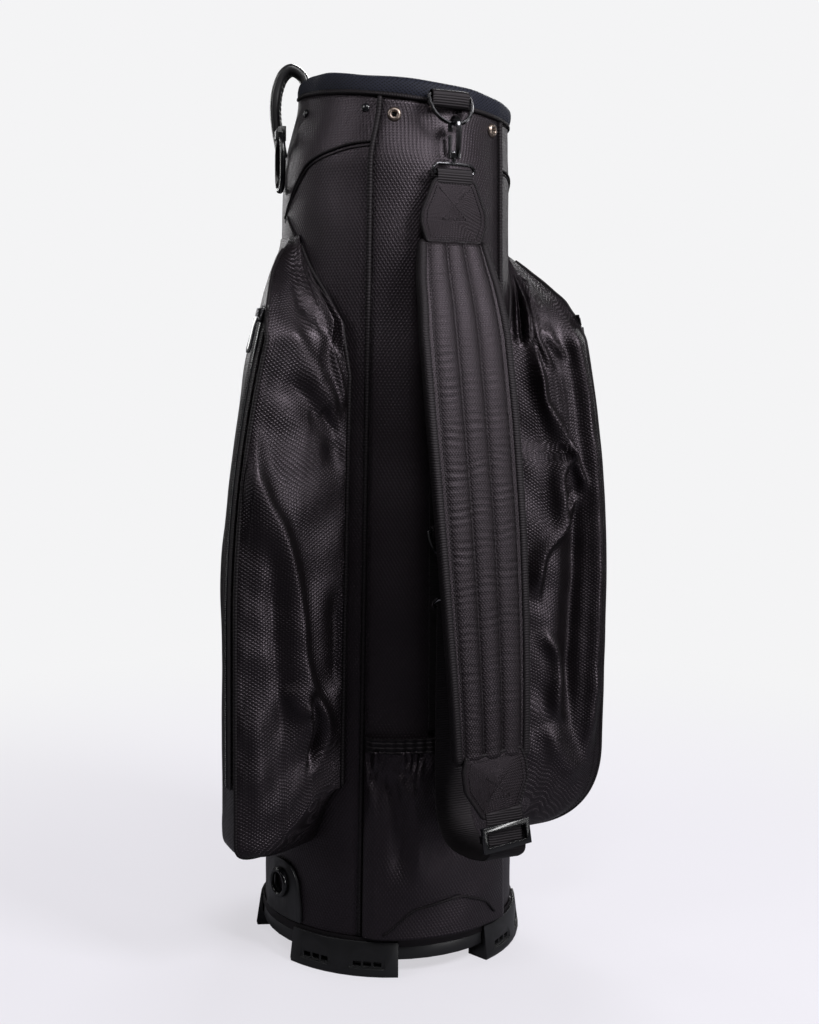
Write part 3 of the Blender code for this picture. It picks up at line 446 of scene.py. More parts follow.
def moulded(name, colours, roughness, grain, depth):
    """Injection-moulded plastic with a spark-eroded grain, painted paler on its convex edges as a painted
    highlight.
    """
    material, tree, shader = start_material(name, roughness)
    where = node(tree, "ShaderNodeNewGeometry")
    # Convex edges are mixed towards the third colour: a painted highlight along them.
    edge = node(tree, "ShaderNodeMapRange", inputs={0: where.outputs["Pointiness"], 1: 0.52, 2: 0.60})
    base = mottled(tree, colours[0], colours[1], 30.0)
    tree.links.new(mixed(tree, edge.outputs[0], base, hex_linear(colours[2])), shader.inputs["Base Color"])
    bumped(tree, shader, fine_noise(tree, grain), depth, 0.5)
    return material


def plated(name, colour, roughness):
    """Plated zinc casting: a polished metal with faint handling marks in its gloss."""
    material, tree, shader = start_material(name, roughness, 1.0)
    shader.inputs["Base Color"].default_value = hex_linear(colour)
    marks = fine_noise(tree, 400.0)
    gloss = node(tree, "ShaderNodeMapRange", inputs={0: marks, 3: roughness * 0.7, 4: roughness * 1.5})
    tree.links.new(gloss.outputs[0], shader.inputs["Roughness"])
    bumped(tree, shader, marks, 0.00005, 0.3)
    return material


CLOTH = weave_cloth("dobby_nylon_upright", 0.0036, 0.0056)
CLOTH_SIDE = weave_cloth("dobby_nylon_across", 0.0056, 0.0036, "#070506", "#0e0b0d", (0.42, 0.27), 0.40)
PAD_CLOTH = weave_cloth("dobby_nylon_strap", 0.0030, 0.0044, "#0b090a", "#130f11", (0.54, 0.40), 0.34)
TAPE = ribbed_cloth("polyester_webbing", 0.0024)
BINDING = ribbed_cloth("binding_tape", 0.0026, colour=("#030203", "#060506"))
PIPING = ribbed_cloth("piping_cord", 0.0030, colour=("#030203", "#070607"))
THREAD = ribbed_cloth("bonded_thread", 0.0010, colour=("#0e0c0e", "#171517"))
MESH_CLOTH = air_mesh()
LINING = ribbed_cloth("divider_lining_cloth", 0.0020, colour=("#131316", "#1d1d21"))
# The third colour of each moulded finish is the painted highlight on its convex edges.
PLASTIC = moulded("moulded_nylon_satin", ("#0a0a0b", "#0f0f11", "#1f1f22"), 0.38, 900.0, 0.00008)
HANDLE_PLASTIC = moulded("moulded_handle_satin", ("#141315", "#1b1a1c", "#2c2b2e"), 0.34, 900.0, 0.00006)
GLOSSY = moulded("polished_acetal", ("#060607", "#0c0c0e", "#1c1c20"), 0.16, 300.0, 0.00003)
BLACK_METAL = plated("black_nickel_plate", "#7d7c80", 0.16)
BRIGHT_METAL = plated("bright_nickel_plate", "#8d8078", 0.34)
ROD_METAL = plated("drawn_aluminium", "#b9babd", 0.35)


# ---------------------------------------------------------------- CAD nodes that stay

SLOT_FINISH = {
    "charcoal_fabric": CLOTH,
    "black_webbing": TAPE,
    "navy_air_mesh": MESH_CLOTH,
    "moulded_black": PLASTIC,
    "gloss_black": GLOSSY,
    "gunmetal": BLACK_METAL,
    "nickel": BRIGHT_METAL,
    "divider_lining": LINING,
    "aluminium_rod": ROD_METAL,
}


def finish_nodes():
    """Each CAD node gets its slot's material, welded faces and smooth shading between sharp edges."""
    slots = {part["node"]: part["material_slot"] for part in frame["record"]["subparts"]}
    for name, obj in frame["nodes"].items():
        obj.data.materials.clear()
        obj.data.materials.append(SLOT_FINISH[slots[name]])
        obj.data.shade_smooth()
        weld = obj.modifiers.new("weld", "WELD")
        weld.merge_threshold = 0.00001
        if slots[name] in ("moulded_black", "gloss_black"):
            edge = obj.modifiers.new("moulded_edges", "BEVEL")
            edge.width = 0.0006
            edge.segments = 2
            edge.angle_limit = math.radians(40)
            edge.harden_normals = True
        else:
            split = obj.modifiers.new("sharp_edges", "EDGE_SPLIT")
            split.split_angle = math.radians(32)


# ---------------------------------------------------------------- tube


def tube_radius(z):
    """Radius of the straight taper."""
    return TUBE_FOOT_R + (TUBE_NECK_R - TUBE_FOOT_R) * z / NECK_Z


def tube_surface(turn, z, out=0.0):
    """A point of the tube at a turn from the strap side and a height, a distance out from it, in the world.

    Above the neck the radius eases to the collar's, the centre to the collar's, and z follows its tilt."""
    turn, z = np.broadcast_arrays(turn, z)
    bag_turn = turn + STRAP_TURN
    neck = np.clip((z - NECK_Z) / (COLLAR_Z - NECK_Z), 0, 1)
    blend = ease(neck)
    radius = np.where(z < NECK_Z, tube_radius(z), TUBE_NECK_R + (COLLAR_R - TUBE_NECK_R) * blend) + out
    x = COLLAR_X * blend + radius * np.sin(bag_turn)
    top = COLLAR_Z - math.tan(COLLAR_TILT) * (COLLAR_R * np.sin(bag_turn)) - 0.0003
    height = np.where(z < NECK_Z, z, NECK_Z + neck * (top - NECK_Z))
    return np.stack([x, -radius * np.cos(bag_turn), height], -1) + AXIS


def tube_normals(turn):
    bag_turn = np.asarray(turn, float) + STRAP_TURN
    return np.stack([np.sin(bag_turn), -np.cos(bag_turn), np.zeros_like(bag_turn)], -1)


def on_tube_line(name, turns, heights, radius, out, material):
    """A round cord laid along a line on the tube."""
    path = even_path(tube_surface(np.radians(turns), np.asarray(heights, float), out), 0.004)
    closed_piece(name, swept(path, from_axis(path), circle(radius)), material)


def make_tube():
    """The sewn tube: a closed sheet round the axis, drawn in at its seams and slightly uneven between."""
    turns = np.linspace(0, 2 * math.pi, 289)[:-1]
    low, high = np.linspace(TUBE_BOTTOM_Z, NECK_Z, 150), np.linspace(NECK_Z, COLLAR_Z, 16)
    heights = np.concatenate([low, high[1:]])
    turn, z = np.meshgrid(turns, heights)
    seams = (SEAM_TURN, -SEAM_TURN, math.pi - SEAM_TURN, math.pi + SEAM_TURN)
    near = sum(bell(np.angle(np.exp(1j * (turn - seam))), 0.045) for seam in seams)
    ends = ease((z - TUBE_BOTTOM_Z) / 0.05) * ease((COLLAR_Z - z) / 0.03)
    unevenness = 0.0006 * waves(turn * 0.12, z, 3, 0.11) * ends * (1 - near)
    points = tube_surface(turn, z, unevenness - 0.0009 * near)
    panels = ("spine_panel", "left_side_panel", "right_side_panel", "front_panel")
    obj = piece(
        "tube_cloth", grid_mesh("tube_cloth", points, True), CLOTH, "bag", panels,
    )
    thicken(obj, 0.0026)
    heights = np.linspace(0.040, COLLAR_Z, 60)
    for word, turn in (("spine", 37.5), ("front", 142.5)):
        on_tube_line(f"piping_{word}_left", np.full(60, -turn), heights, 0.0026, 0.0006, PIPING)
        on_tube_line(f"piping_{word}_right", np.full(60, turn), heights, 0.0026, 0.0006, PIPING)
    # Seam lines, in degrees round the tube and metres up it.
    arc = np.array([
        (38.0, 0.824), (49.0, 0.821), (59.0, 0.816), (67.5, 0.811), (75.0, 0.804), (82.5, 0.789),
        (89.0, 0.774), (96.0, 0.757),
    ])
    for name, side, drop in (("panel_seam_left", -1, 0.0), ("panel_seam_right", 1, 0.015)):
        line = even_path(arc * (side, 100), 0.5) / (1, 100)
        on_tube_line(name, line[:, 0], line[:, 1] - drop, 0.0014, 0.0008, PIPING)
        on_tube_line(name + "_fell", line[:, 0], line[:, 1] - drop - 0.004, 0.0007, 0.0006, THREAD)
    gusset = even_path([(66.0, 69.7), (72.3, 71.2), (81.0, 73.5), (92.0, 75.8)], 0.5) / (1, 100)
    on_tube_line("gusset_cord_left", -gusset[:, 0], gusset[:, 1], 0.0016, 0.0008, PIPING)
    for name, side in (("stitches_spine_left", -1), ("stitches_spine_right", 1)):
        turns = np.full(60, side * math.radians(35.3))
        stitched(name, tube_surface(turns, heights, 0.0002), tube_normals(turns))


# ---------------------------------------------------------------- pockets


def pocket_edge_x(z):
    """Where the side pocket's piped edge stands: straight low down, then an arc."""
    rise = np.maximum(z - POCKET_ARC_Z, 0)
    return POCKET_X - POCKET_ARC_R + np.sqrt(POCKET_ARC_R**2 - rise**2)


def spread(controls, count, soften):
    """Weights that turn control points into a curve of count points: straight runs with eased corners."""
    run = lengths(controls)
    at = np.linspace(0, run[-1], count)
    weights = np.stack([np.interp(at, run, row) for row in np.eye(len(controls))], -1)
    kernel = soft_kernel(6, soften)
    padded = np.concatenate([np.repeat(weights[:1], 6, 0), weights, np.repeat(weights[-1:], 6, 0)])
    eased = np.stack([np.convolve(row, kernel, "valid") for row in padded.T], -1)
    pin = ease(np.minimum(np.arange(count), np.arange(count)[::-1]) / 6)[:, None]
    return eased * pin + weights * (1 - pin)


SIDE_OFFSETS = millimetres(
    (-58, -2), (-20, -3), (0, 0), (0.5, 20), (-0.5, 42), (-9, 70), (-18, 98), (-29, 126), (-44, 152),
    (-66, 174),
)
SIDE_COUNT = 210
FACE = 0.10
EDGE_AT = 3


def side_pocket_controls(z):
    """Plan of the right side pocket at heights z: front seam on the tube, round the outside, back seam."""
    radius = tube_radius(z) + 0.0008
    seam, back = (round_axis(radius, turn, 0.0)[:, :2] for turn in (POCKET_SEAM, POCKET_BACK))
    corner = np.stack([pocket_edge_x(z), np.full_like(z, POCKET_Y)], -1)
    return np.concatenate([seam[:, None], corner[:, None] + SIDE_OFFSETS, back[:, None]], 1)


def side_pocket_grid(side, bottom, corner, power, folds, seam_rise):
    """The outside of a side pocket as a grid, in the strap frame, and the column of its piped edge.

    Each level is the plan drawn in towards the tube by its fullness; near the top the seam and the edge
    sweep round towards the back. Folds push the front face out along its normal."""
    t = np.sin(np.linspace(math.pi / 2, 0, 26))
    low = bottom + corner * (1 - t)
    low_full = np.maximum((1 - t**power) ** (1 / power), 0.02)
    high = np.linspace(low[-1], 0.640, 120)[1:]
    top = np.array([0.640, 0.650, 0.660, 0.670, 0.680, 0.690, 0.700, 0.708, 0.716, 0.723, 0.729, 0.734, 0.738])
    top_full = np.interp(
        top, [0.640, 0.660, 0.680, 0.700, 0.716, 0.730, 0.738],
        [1, 0.95, 0.83, 0.60, 0.37, 0.13, 0.02],
    )
    z = np.concatenate([low, high, top[1:]])
    full = np.concatenate([low_full, np.ones(len(high)), top_full[1:]])[:, None]

    middle = side_pocket_controls(np.array([0.40]))[0]
    weights = spread(middle, SIDE_COUNT, 2.2)
    run = lengths(middle)
    column = round(run[EDGE_AT] / run[-1] * (SIDE_COUNT - 1))
    plan = np.einsum("wc,zcd->zwd", weights, side_pocket_controls(z))
    turn = np.arctan2(plan[..., 0], -plan[..., 1])
    reach = np.linalg.norm(plan, axis=-1)
    near = (tube_radius(z) + 0.0010)[:, None]
    reach = near + full * np.maximum(reach - near, 0)

    edge = turn[:, column : column + 1]
    seam_to = np.radians(np.interp(z, [0.60, 0.65, 0.68, 0.707, 0.738], [45.5, 50, 59.5, 70, 80]))[:, None]
    edge_to = np.maximum(
        edge, np.radians(np.interp(z, [0.62, 0.66, 0.68, 0.70, 0.738], [60, 64, 67, 73, 86]))[:, None],
    )
    before = seam_to + (turn - POCKET_SEAM) / (edge - POCKET_SEAM) * (edge_to - seam_to)
    after = edge_to + (turn - edge) / (POCKET_BACK - edge) * (POCKET_BACK - edge_to)
    turn = np.where(turn < edge, before, after)

    points = round_axis(reach, turn, z[:, None])
    u = np.arange(SIDE_COUNT)[None] / column
    v = z[:, None]
    front = ease((1.02 - u) / 0.10) * ease(u / 0.10)
    outer = ease((u - 1.08) / 0.2)
    lift = front * folded(u * FACE, v, folds)
    lift += 0.0009 * front * waves(u * 0.10, v, 7 + side, 0.06)
    lift += outer * (0.0016 * waves(u * 0.10, v, 11 + side, 0.13) - 0.0016)
    lift *= full * ease((v - bottom) / 0.05) * ease((0.735 - v) / 0.04)
    normals = unit(np.cross(np.gradient(points, axis=1), np.gradient(points, axis=0)))
    points = points + normals * lift[..., None]
    raised = seam_rise * (1 - ease(u / 0.85))
    points[..., 2] += raised * np.clip(1 - (v - bottom) / 0.24, 0, 1)
    points[..., 0] *= side
    return points, column


# Each row of these tables is one fold: its width to the left and to the right of its line, its height, the
# share of both ends over which it dies away, and the line's (x, z). All but the share are millimetres.
# x runs across the face, from the seam on the tube at 0 to the piped edge at 100.

# One broad fold falls from the zipped edge and curls over at the foot, with lesser ones round it.
LEFT_FOLDS = (
    (
        22, 7, 15, 0.22, (96, 560), (92, 515), (82, 482), (67, 455), (58, 425), (49, 380), (45, 330),
        (40, 294), (31, 262), (21, 232), (17, 205), (24, 178),
    ),
    (8, 14, -6, 0.25, (78, 460), (68, 400), (64, 330), (58, 270), (55, 220)),
    (3.5, 6, -12, 0.25, (40, 285), (31, 245), (28, 215), (34, 175)),
    (4, 10, 6, 0.25, (60, 300), (50, 270), (36, 250)),
    (9, 9, -5, 0.25, (12, 400), (8, 330), (6, 260)),
    (14, 7, 6, 0.25, (90, 660), (60, 615), (30, 580), (6, 555)),
    (10, 10, -5, 0.25, (85, 600), (55, 575), (22, 535), (10, 500)),
    (4, 5, 5, 0.25, (4, 565), (20, 600), (34, 640)),
    (4, 6, -6, 0.25, (75, 685), (52, 655), (36, 640)),
    (3, 5, -4.5, 0.25, (10, 545), (22, 552), (36, 570)),
    (3, 3, 7, 0.25, (10, 615), (13, 650), (14, 690)),
    (2.5, 2.5, -7, 0.25, (4, 615), (6, 650), (7, 700)),
    (3, 3, -8, 0.25, (20, 620), (23, 655), (22, 695)),
    (4, 4, 7, 0.25, (28, 630), (32, 660), (33, 700)),
    (12, 12, 3, 0.25, (85, 300), (80, 220), (70, 150)),
)

# A soft band beside the edge, a dark hollow within it, and a sharp fold that zigzags down between.
RIGHT_FOLDS = (
    (10, 6, 9, 0.12, (80, 675), (86, 600), (87, 450), (86, 300), (80, 180)),
    (6, 12, -11, 0.25, (70, 520), (68, 420), (64, 300), (66, 200)),
    (
        3.5, 10, 11, 0.12, (38, 645), (45, 600), (46, 575), (65, 526), (54, 495), (56, 446), (34, 414),
        (28, 360),
    ),
    (3.5, 4, 8, 0.25, (60, 535), (70, 510), (79, 480)),
    (3, 5, 5, 0.25, (54, 440), (63, 455), (72, 480)),
    (5, 8, 10, 0.25, (30, 335), (46, 312), (52, 284), (50, 247), (60, 225)),
    (12, 12, 6, 0.25, (40, 225), (55, 190), (80, 165)),
    (4, 4, 6, 0.25, (18, 690), (13, 665), (20, 635)),
    (3, 4, -11, 0.25, (25, 695), (23, 660), (26, 630)),
    (3.5, 4, 8, 0.25, (30, 700), (35, 665), (33, 635)),
    (3, 5, 5, 0.35, (36, 655), (60, 700), (78, 695)),
    (3, 5, 5, 0.35, (36, 655), (64, 672), (82, 668)),
    (3, 5, 5, 0.35, (36, 655), (60, 640), (78, 612)),
    (3, 5, 5, 0.35, (36, 655), (52, 628), (60, 600)),
)


def close_on_tube(points):
    """Adds the back of a pocket: columns that run along the tube from its last seam to its first."""
    first, last = points[:, :1], points[:, -1:]
    start, end = (np.arctan2(column[..., 0], -column[..., 1]) for column in (first, last))
    t = np.linspace(0, 1, 18)[None, 1:-1]
    height = last[..., 2] + (first[..., 2] - last[..., 2]) * t
    back = round_axis(tube_radius(height) + 0.0004, end + (start - end) * t, height)
    return np.concatenate([points, back], 1)


def edge_cord(name, points, radius):
    """Piping along a run of points on a pocket, stood up on the way out from the tube's axis."""
    normals = from_axis(points)
    path = even_path(points, 0.004)
    run, fine = lengths(points), lengths(path)
    out = np.stack([np.interp(fine / fine[-1], run / run[-1], axis) for axis in normals.T], -1)
    closed_piece(name, swept(path, out, circle(radius)), PIPING)


def make_side_pocket(word, side, bottom, corner, power, folds, seam_rise):
    """A side pocket's closed shell, with piping on its edge, a cord on its seam, stitches and a zip."""
    grid, column = side_pocket_grid(side, bottom, corner, power, folds, seam_rise)
    world = strap_place(close_on_tube(grid))
    closed_piece(f"{word}_pocket_cloth", world, CLOTH_SIDE, (f"{word}_pocket",))
    placed = strap_place(grid)
    edge_cord(f"{word}_pocket_piping", placed[3:-3, column], 0.0019)
    edge_cord(f"{word}_pocket_seam", placed[6:-2, 1], 0.0022)
    inset = even_path(placed[8:-14, column - 6], 0.003)
    stitched(f"{word}_pocket_stitches", inset, np.tile(strap_turned([[0, -1, 0]]), (len(inset), 1)))
    make_side_zip(word, side)


def make_side_zip(word, side):
    """A zip along the pocket's edge: two woven tapes, a raised coil, and its teeth."""
    straight, arc = np.linspace(0.20, POCKET_ARC_Z, 30), np.linspace(POCKET_ARC_Z, 0.665, 60)
    heights = np.concatenate([straight, arc[1:]])
    angle = np.arcsin(np.maximum(heights - POCKET_ARC_Z, 0) / POCKET_ARC_R)
    normals = np.stack([side * np.cos(angle), np.zeros_like(angle), np.sin(angle)], -1)
    path = np.stack(
        [side * pocket_edge_x(heights), np.full_like(heights, ZIP_Y), heights], -1,
    ) + normals * 0.0016
    turned = strap_turned(normals)
    tape = swept(strap_place(path), turned, slab(0.024, 0.0012))
    closed_piece(f"{word}_zip_cloth", tape, TAPE, (f"{word}_zip_tape",))
    coil = swept(strap_place(path + normals * 0.0006), turned, slab(0.0052, 0.0016, 12, 3))
    closed_piece(f"{word}_zip_coil", coil, GLOSSY)
    zip_teeth(f"{word}_zip_teeth", strap_place(path + normals * 0.0013), turned)


def front_pocket_grid(low, high, half, reach, corner, seed):
    """A front pocket: a rounded box against the tube, puffed out in the middle of each face."""
    t = np.sin(np.linspace(math.pi / 2, 0, 22))
    full_end = np.maximum((1 - t**3.0) ** (1 / 3.0), 0.02)
    middle = np.linspace(low + corner, high - corner, 60)[1:-1]
    z = np.concatenate([low + corner * (1 - t), middle, (high - corner * (1 - t))[::-1]])
    full = np.concatenate([full_end, np.ones(58), full_end[::-1]])[:, None]
    radius = tube_radius(z) + 0.0008
    end = math.asin((half + 0.004) / float(radius.mean()))
    out = (half, reach) + millimetres((4, -45), (3, -22), (-6, -5), (-24, 0), (-1000 * half, 0))
    out = np.concatenate([out, out[-2::-1] * (-1, 1)])
    seam = np.stack([radius * math.sin(end), radius * math.cos(end)], -1)[:, None]
    controls = np.concatenate([seam, np.broadcast_to(out, (len(z), *out.shape)), seam * (-1, 1)], 1)
    weights = spread(controls[len(z) // 2], 150, 2.5)
    plan = np.einsum("wc,zcd->zwd", weights, controls)
    turn = np.arctan2(plan[..., 0], plan[..., 1])
    distance = np.linalg.norm(plan, axis=-1)
    near = (radius + 0.0002)[:, None]
    distance = near + full * np.maximum(distance - near, 0)
    points = round_axis(distance, turn, z[:, None], 1)
    u = np.linspace(-1, 1, 150)[None]
    v = (z[:, None] - low) / (high - low)
    puff = 0.004 * np.cos(u * 1.4) * np.sin(math.pi * v) + 0.0006 * waves(u * 0.14, z[:, None], seed, 0.09)
    normals = unit(np.cross(np.gradient(points, axis=0), np.gradient(points, axis=1)))
    return points + normals * (puff * full * ease((1 - abs(u)) / 0.1) - 0.002)[..., None], z


def make_front_pocket(word, low, high, half, reach, zip_z, corner, seed):
    """A front pocket's closed shell, with piping down both sides and a zip across it."""
    grid, z = front_pocket_grid(low, high, half, reach, corner, seed)
    first = np.arctan2(grid[:, :1, 0], grid[:, :1, 1])
    turn = -first + 2 * first * np.linspace(0, 1, 18)[None, 1:-1]
    radius = (tube_radius(z) + 0.0004)[:, None]
    back = round_axis(radius, turn, z[:, None], 1)
    world = strap_place(np.concatenate([grid, back], 1))
    closed_piece(f"{word}_pocket_cloth", world, CLOTH, (f"{word}_pocket",))
    placed = strap_place(grid)
    for label, column in (("left", 118), ("right", 31)):
        edge_cord(f"{word}_piping_{label}", placed[8:-8, column], 0.0018)
    width = 2 * (half - 0.022)
    across = np.linspace(width / 2, -width / 2, 60)
    path = np.stack([across, np.full(60, reach + 0.0002), np.full(60, zip_z)], -1)
    facing = np.tile(strap_turned([[0, 1, 0]]), (60, 1))
    tape = swept(strap_place(path), facing, slab(0.022, 0.0014))
    closed_piece(f"{word}_zip_cloth", tape, TAPE)
    zip_teeth(f"{word}_zip_teeth", strap_place(path + (0, 0.0006, 0)), facing)


# ---------------------------------------------------------------- bottle pocket, webbing on the spine


SLEEVE_TURN = math.radians(36.2)
BAND_RIB = 0.0046


def sleeve_grid(low, high, out, rows, columns, gather):
    """Cloth over the spine between its seams, that stands off the tube and closes at the sides."""
    turn = np.linspace(-1, 1, columns)[None] * SLEEVE_TURN
    z = np.linspace(low, high, rows)[:, None]
    u = abs(turn) / SLEEVE_TURN
    off = out * np.clip((1 - u) / 0.14, 0, 1) ** 0.5
    return tube_surface(turn, z, off + gather(turn, z) * np.clip((1 - u) / 0.08, 0, 1) + 0.0022)


# The same kind of rows for the cloth under the elastic, with x measured from the middle of the spine.
LONG_FOLDS = (
    (6, 8, -5.5, 0.25, (-62, 222), (-52, 190), (-47, 150), (-48, 95)),
    (10, 6, 4.5, 0.25, (-48, 215), (-36, 180), (-30, 140), (-32, 90)),
    (10, 6, -4.5, 0.25, (-14, 222), (-10, 190), (4, 160), (30, 145)),
)


def gathers(turn, z):
    """Crumples under the elastic: uneven pleats that fade downwards, and two long folds below them."""
    x = turn * 0.13
    depth = ease((z - 0.150) / 0.065) ** 1.5
    bend = 1.8 * np.sin(z * 60) + 1.6 * np.sin(x * 70) + waves(x, z, 23, 0.05)
    uneven = 0.65 + 0.45 * np.sin(x * 160 + 1.0)
    middle = 1 - 0.6 * bell(x - 0.01, 0.030)
    pleats = depth * uneven * middle * (0.0024 * np.cos(x * 330 + bend) + 0.0011 * np.cos(x * 610 - 2 * bend))
    return pleats + folded(x, z, LONG_FOLDS) + 0.0007 * waves(x, z, 21, 0.07)


def band_ribs(turn, z):
    """The elastic's ribs along the band, and the puckers its gathers give it."""
    return 0.0006 * np.cos(turn * 90) + 0.0005 * np.cos((z - 0.229) * WAVE / BAND_RIB)


def make_bottle_pocket():
    """The gathered pocket over the spine's foot, its elastic band, and the corded arch low on its face."""
    grid = sleeve_grid(0.0395, 0.2310, 0.0080, 90, 220, gathers)
    obj = piece(
        "bottle_pocket_cloth", grid_mesh("bottle_pocket_cloth", grid), CLOTH, "bag",
        ("bottle_pocket",),
    )
    thicken(obj, 0.0012)
    band = sleeve_grid(0.2290, 0.2430, 0.0085, 15, 220, band_ribs)
    obj = piece(
        "bottle_band_elastic", grid_mesh("bottle_band_elastic", band), BINDING, "bag",
        ("bottle_pocket_band",),
    )
    thicken(obj, 0.0020)
    turns = np.linspace(-27, 25, 40)
    arch = np.interp(turns, [-27, -15, 5, 20, 25], [0.043, 0.070, 0.079, 0.065, 0.048])
    path = even_path(tube_surface(np.radians(turns), ease_line(arch), 0.0106), 0.003)
    cord = swept(path, path - AXIS - [0, 0, 0.06], circle(0.0013, 8))
    closed_piece("bottle_pocket_arch", cord, PIPING)


def make_spine_webbing():
    """The flat webbing sewn down the middle of the spine."""
    heights = np.linspace(0.2460, NECK_Z - 0.001, 120)
    outward = tube_normals(np.zeros(120))
    path = tube_surface(np.zeros(120), heights, 0.0014)
    path += 0.0003 * outward * waves(0, heights, 5, 0.1)[:, None]
    band = swept(path, outward, slab(0.0385, 0.0016, 28))
    closed_piece("spine_webbing_cloth", band, TAPE, ("spine_webbing",))


# ---------------------------------------------------------------- collar and handle


def make_collar():
    """The collar's cushion: a soft section turned about its tilted axis, open at the handle's notch."""
    outline = millimetres(
        (94.5, 13.5), (94.8, 18), (98.5, 21.2), (104.5, 21.2), (109, 17.8), (110.3, 11), (109.8, 4.5),
        (108, 0.8), (105, 1), (104.6, 12.2), (99, 12.8),
    )
    section = even_path(outline, 0.0017)
    start = math.asin(0.0148 / 0.1040)
    turn = np.linspace(start, 2 * math.pi - start, 260)[:, None] + math.pi
    outer = ease((section[:, 0] - 0.100) / 0.006)[None]
    soft = outer * 0.0008 * waves(turn * 0.11, section[None, :, 1], 9, 0.05)
    radius = section[None, :, 0] + soft
    level = section[None, :, 1]
    height = np.broadcast_to(level, radius.shape) + 0.0006 * waves(
        turn * 0.11, 0.0, 13, 0.12,
    ) * ease(level / 0.01)
    points = np.stack([radius * np.cos(turn), radius * np.sin(turn), height], -1)
    obj = closed_piece("collar_cushion", collar_place(points), MESH_CLOTH, ("collar_pad",))
    around, aside, one = np.cos(turn[:, 0]), np.sin(turn[:, 0]), np.ones(len(turn))
    for name, r, h, size in (("low", 0.1092, 0.0022, 0.0021), ("top", 0.0962, 0.0192, 0.0018)):
        path = np.stack([r * around, r * aside, h * one], -1)
        normals = collar_place(np.stack([around, aside, 0.3 * one], -1)) - collar_place([0, 0, 0])
        cord = swept(collar_place(path), normals, slab(2.2 * size, 2 * size, 12, 2.4))
        closed_piece(f"collar_binding_{name}", cord, BINDING)


def make_snaps():
    """The nickel snap sockets: a rolled rim round a black disc of painted shade where the hole is, turned about the
    cloth's own normal.
    """
    rim = millimetres((1.6, 0.4), (2.4, 1), (3, 2.6), (4.4, 3), (5.8, 2.4), (6.8, 1), (7, 0))
    profile = even_path(rim, 0.0004)
    a = np.linspace(0, 2 * math.pi, 48, endpoint=False)
    for name, turn in (("hood_stud_left", -29.5), ("hood_stud_right", 29.0)):
        low, high = (np.array(corner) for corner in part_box(name))
        out = tube_normals(math.radians(turn))
        side = unit(np.cross([0, 0, 1.0], out))
        up = np.cross(out, side)
        ring = np.cos(a)[:, None] * side + np.sin(a)[:, None] * up
        seat = (low + high) / 2 - 0.0016 * out
        points = seat + profile[:, None, :1] * ring + profile[:, None, 1:] * out
        closed_piece(f"{name}_socket", points, BRIGHT_METAL, (name,))
        # A black disc inside the rim: painted shade standing for the socket's hole.
        painted_shade_disc = seat + 0.0009 * out + np.linspace(0.0022, 0.0004, 5)[:, None, None] * ring
        closed_piece(f"{name}_well", painted_shade_disc, GLOSSY)


def make_handle():
    """The moulded grab handle: a rounded section along an arch, thinner at the ends, notched inside."""
    arch = millimetres(
        (-93, 889.2), (-93.6, 896), (-98.5, 906.2), (-109, 912.2), (-118.5, 905), (-124.2, 889),
        (-125.6, 870.5), (-124, 852), (-121.2, 837), (-118.6, 824),
    )
    path = even_path(arch, 0.0009)
    place = np.stack([path[:, 0], np.zeros(len(path)), path[:, 1]], -1)
    tangent = unit(np.gradient(place, axis=0))
    normals = np.cross(tangent, [0, 1, 0])
    run = lengths(path)
    section = np.broadcast_to(slab(0.0258, 0.0112, 40, 3.0), (len(path), 40, 2)).copy()
    notch = 0.0011 * (np.cos(run * WAVE / 0.0052) > 0.2) * ease((run - 0.030) / 0.006) * ease((0.092 - run) / 0.006)
    inner = section[..., 1] < 0 if normals[len(path) // 2, 0] < 0 else section[..., 1] > 0
    section[..., 1] += np.where(
        inner, np.sign(-section[..., 1]) * notch[:, None] * (abs(section[..., 0]) < 0.009), 0,
    )
    rings = swept(place + AXIS, normals, section)
    closed_piece("grab_handle_moulding", rings, HANDLE_PLASTIC, ("grab_handle",))


# ---------------------------------------------------------------- shoulder strap

PAD_LOW, PAD_HIGH = 0.2400, 0.7300
PAD_LINE = millimetres(
    (730, 135), (700, 145.5), (660, 160), (600, 175), (530, 190), (460, 203.5), (380, 216), (300, 226),
    (249, 230), (240, 230.4),
)
PAD_WIDTH = millimetres(
    (730, 72), (690, 86), (640, 95), (560, 96), (450, 93), (350, 87), (249, 79), (240, 77),
)


def pad_line():
    """The pad's path in the strap's middle plane, from top to bottom, with normals away from the bag."""
    flat = even_path(PAD_LINE[:, ::-1] - (0.006, 0), 0.0022)
    path = np.stack([np.zeros(len(flat)), -flat[:, 0], flat[:, 1]], -1)
    return path, np.cross(unit(np.gradient(path, axis=0)), [1, 0, 0])


def stuffed(a, centre, height):
    """A half-round ridge across the pad."""
    return height * np.sqrt(np.clip(1 - ((a - centre) / 0.24) ** 2, 0, 1))


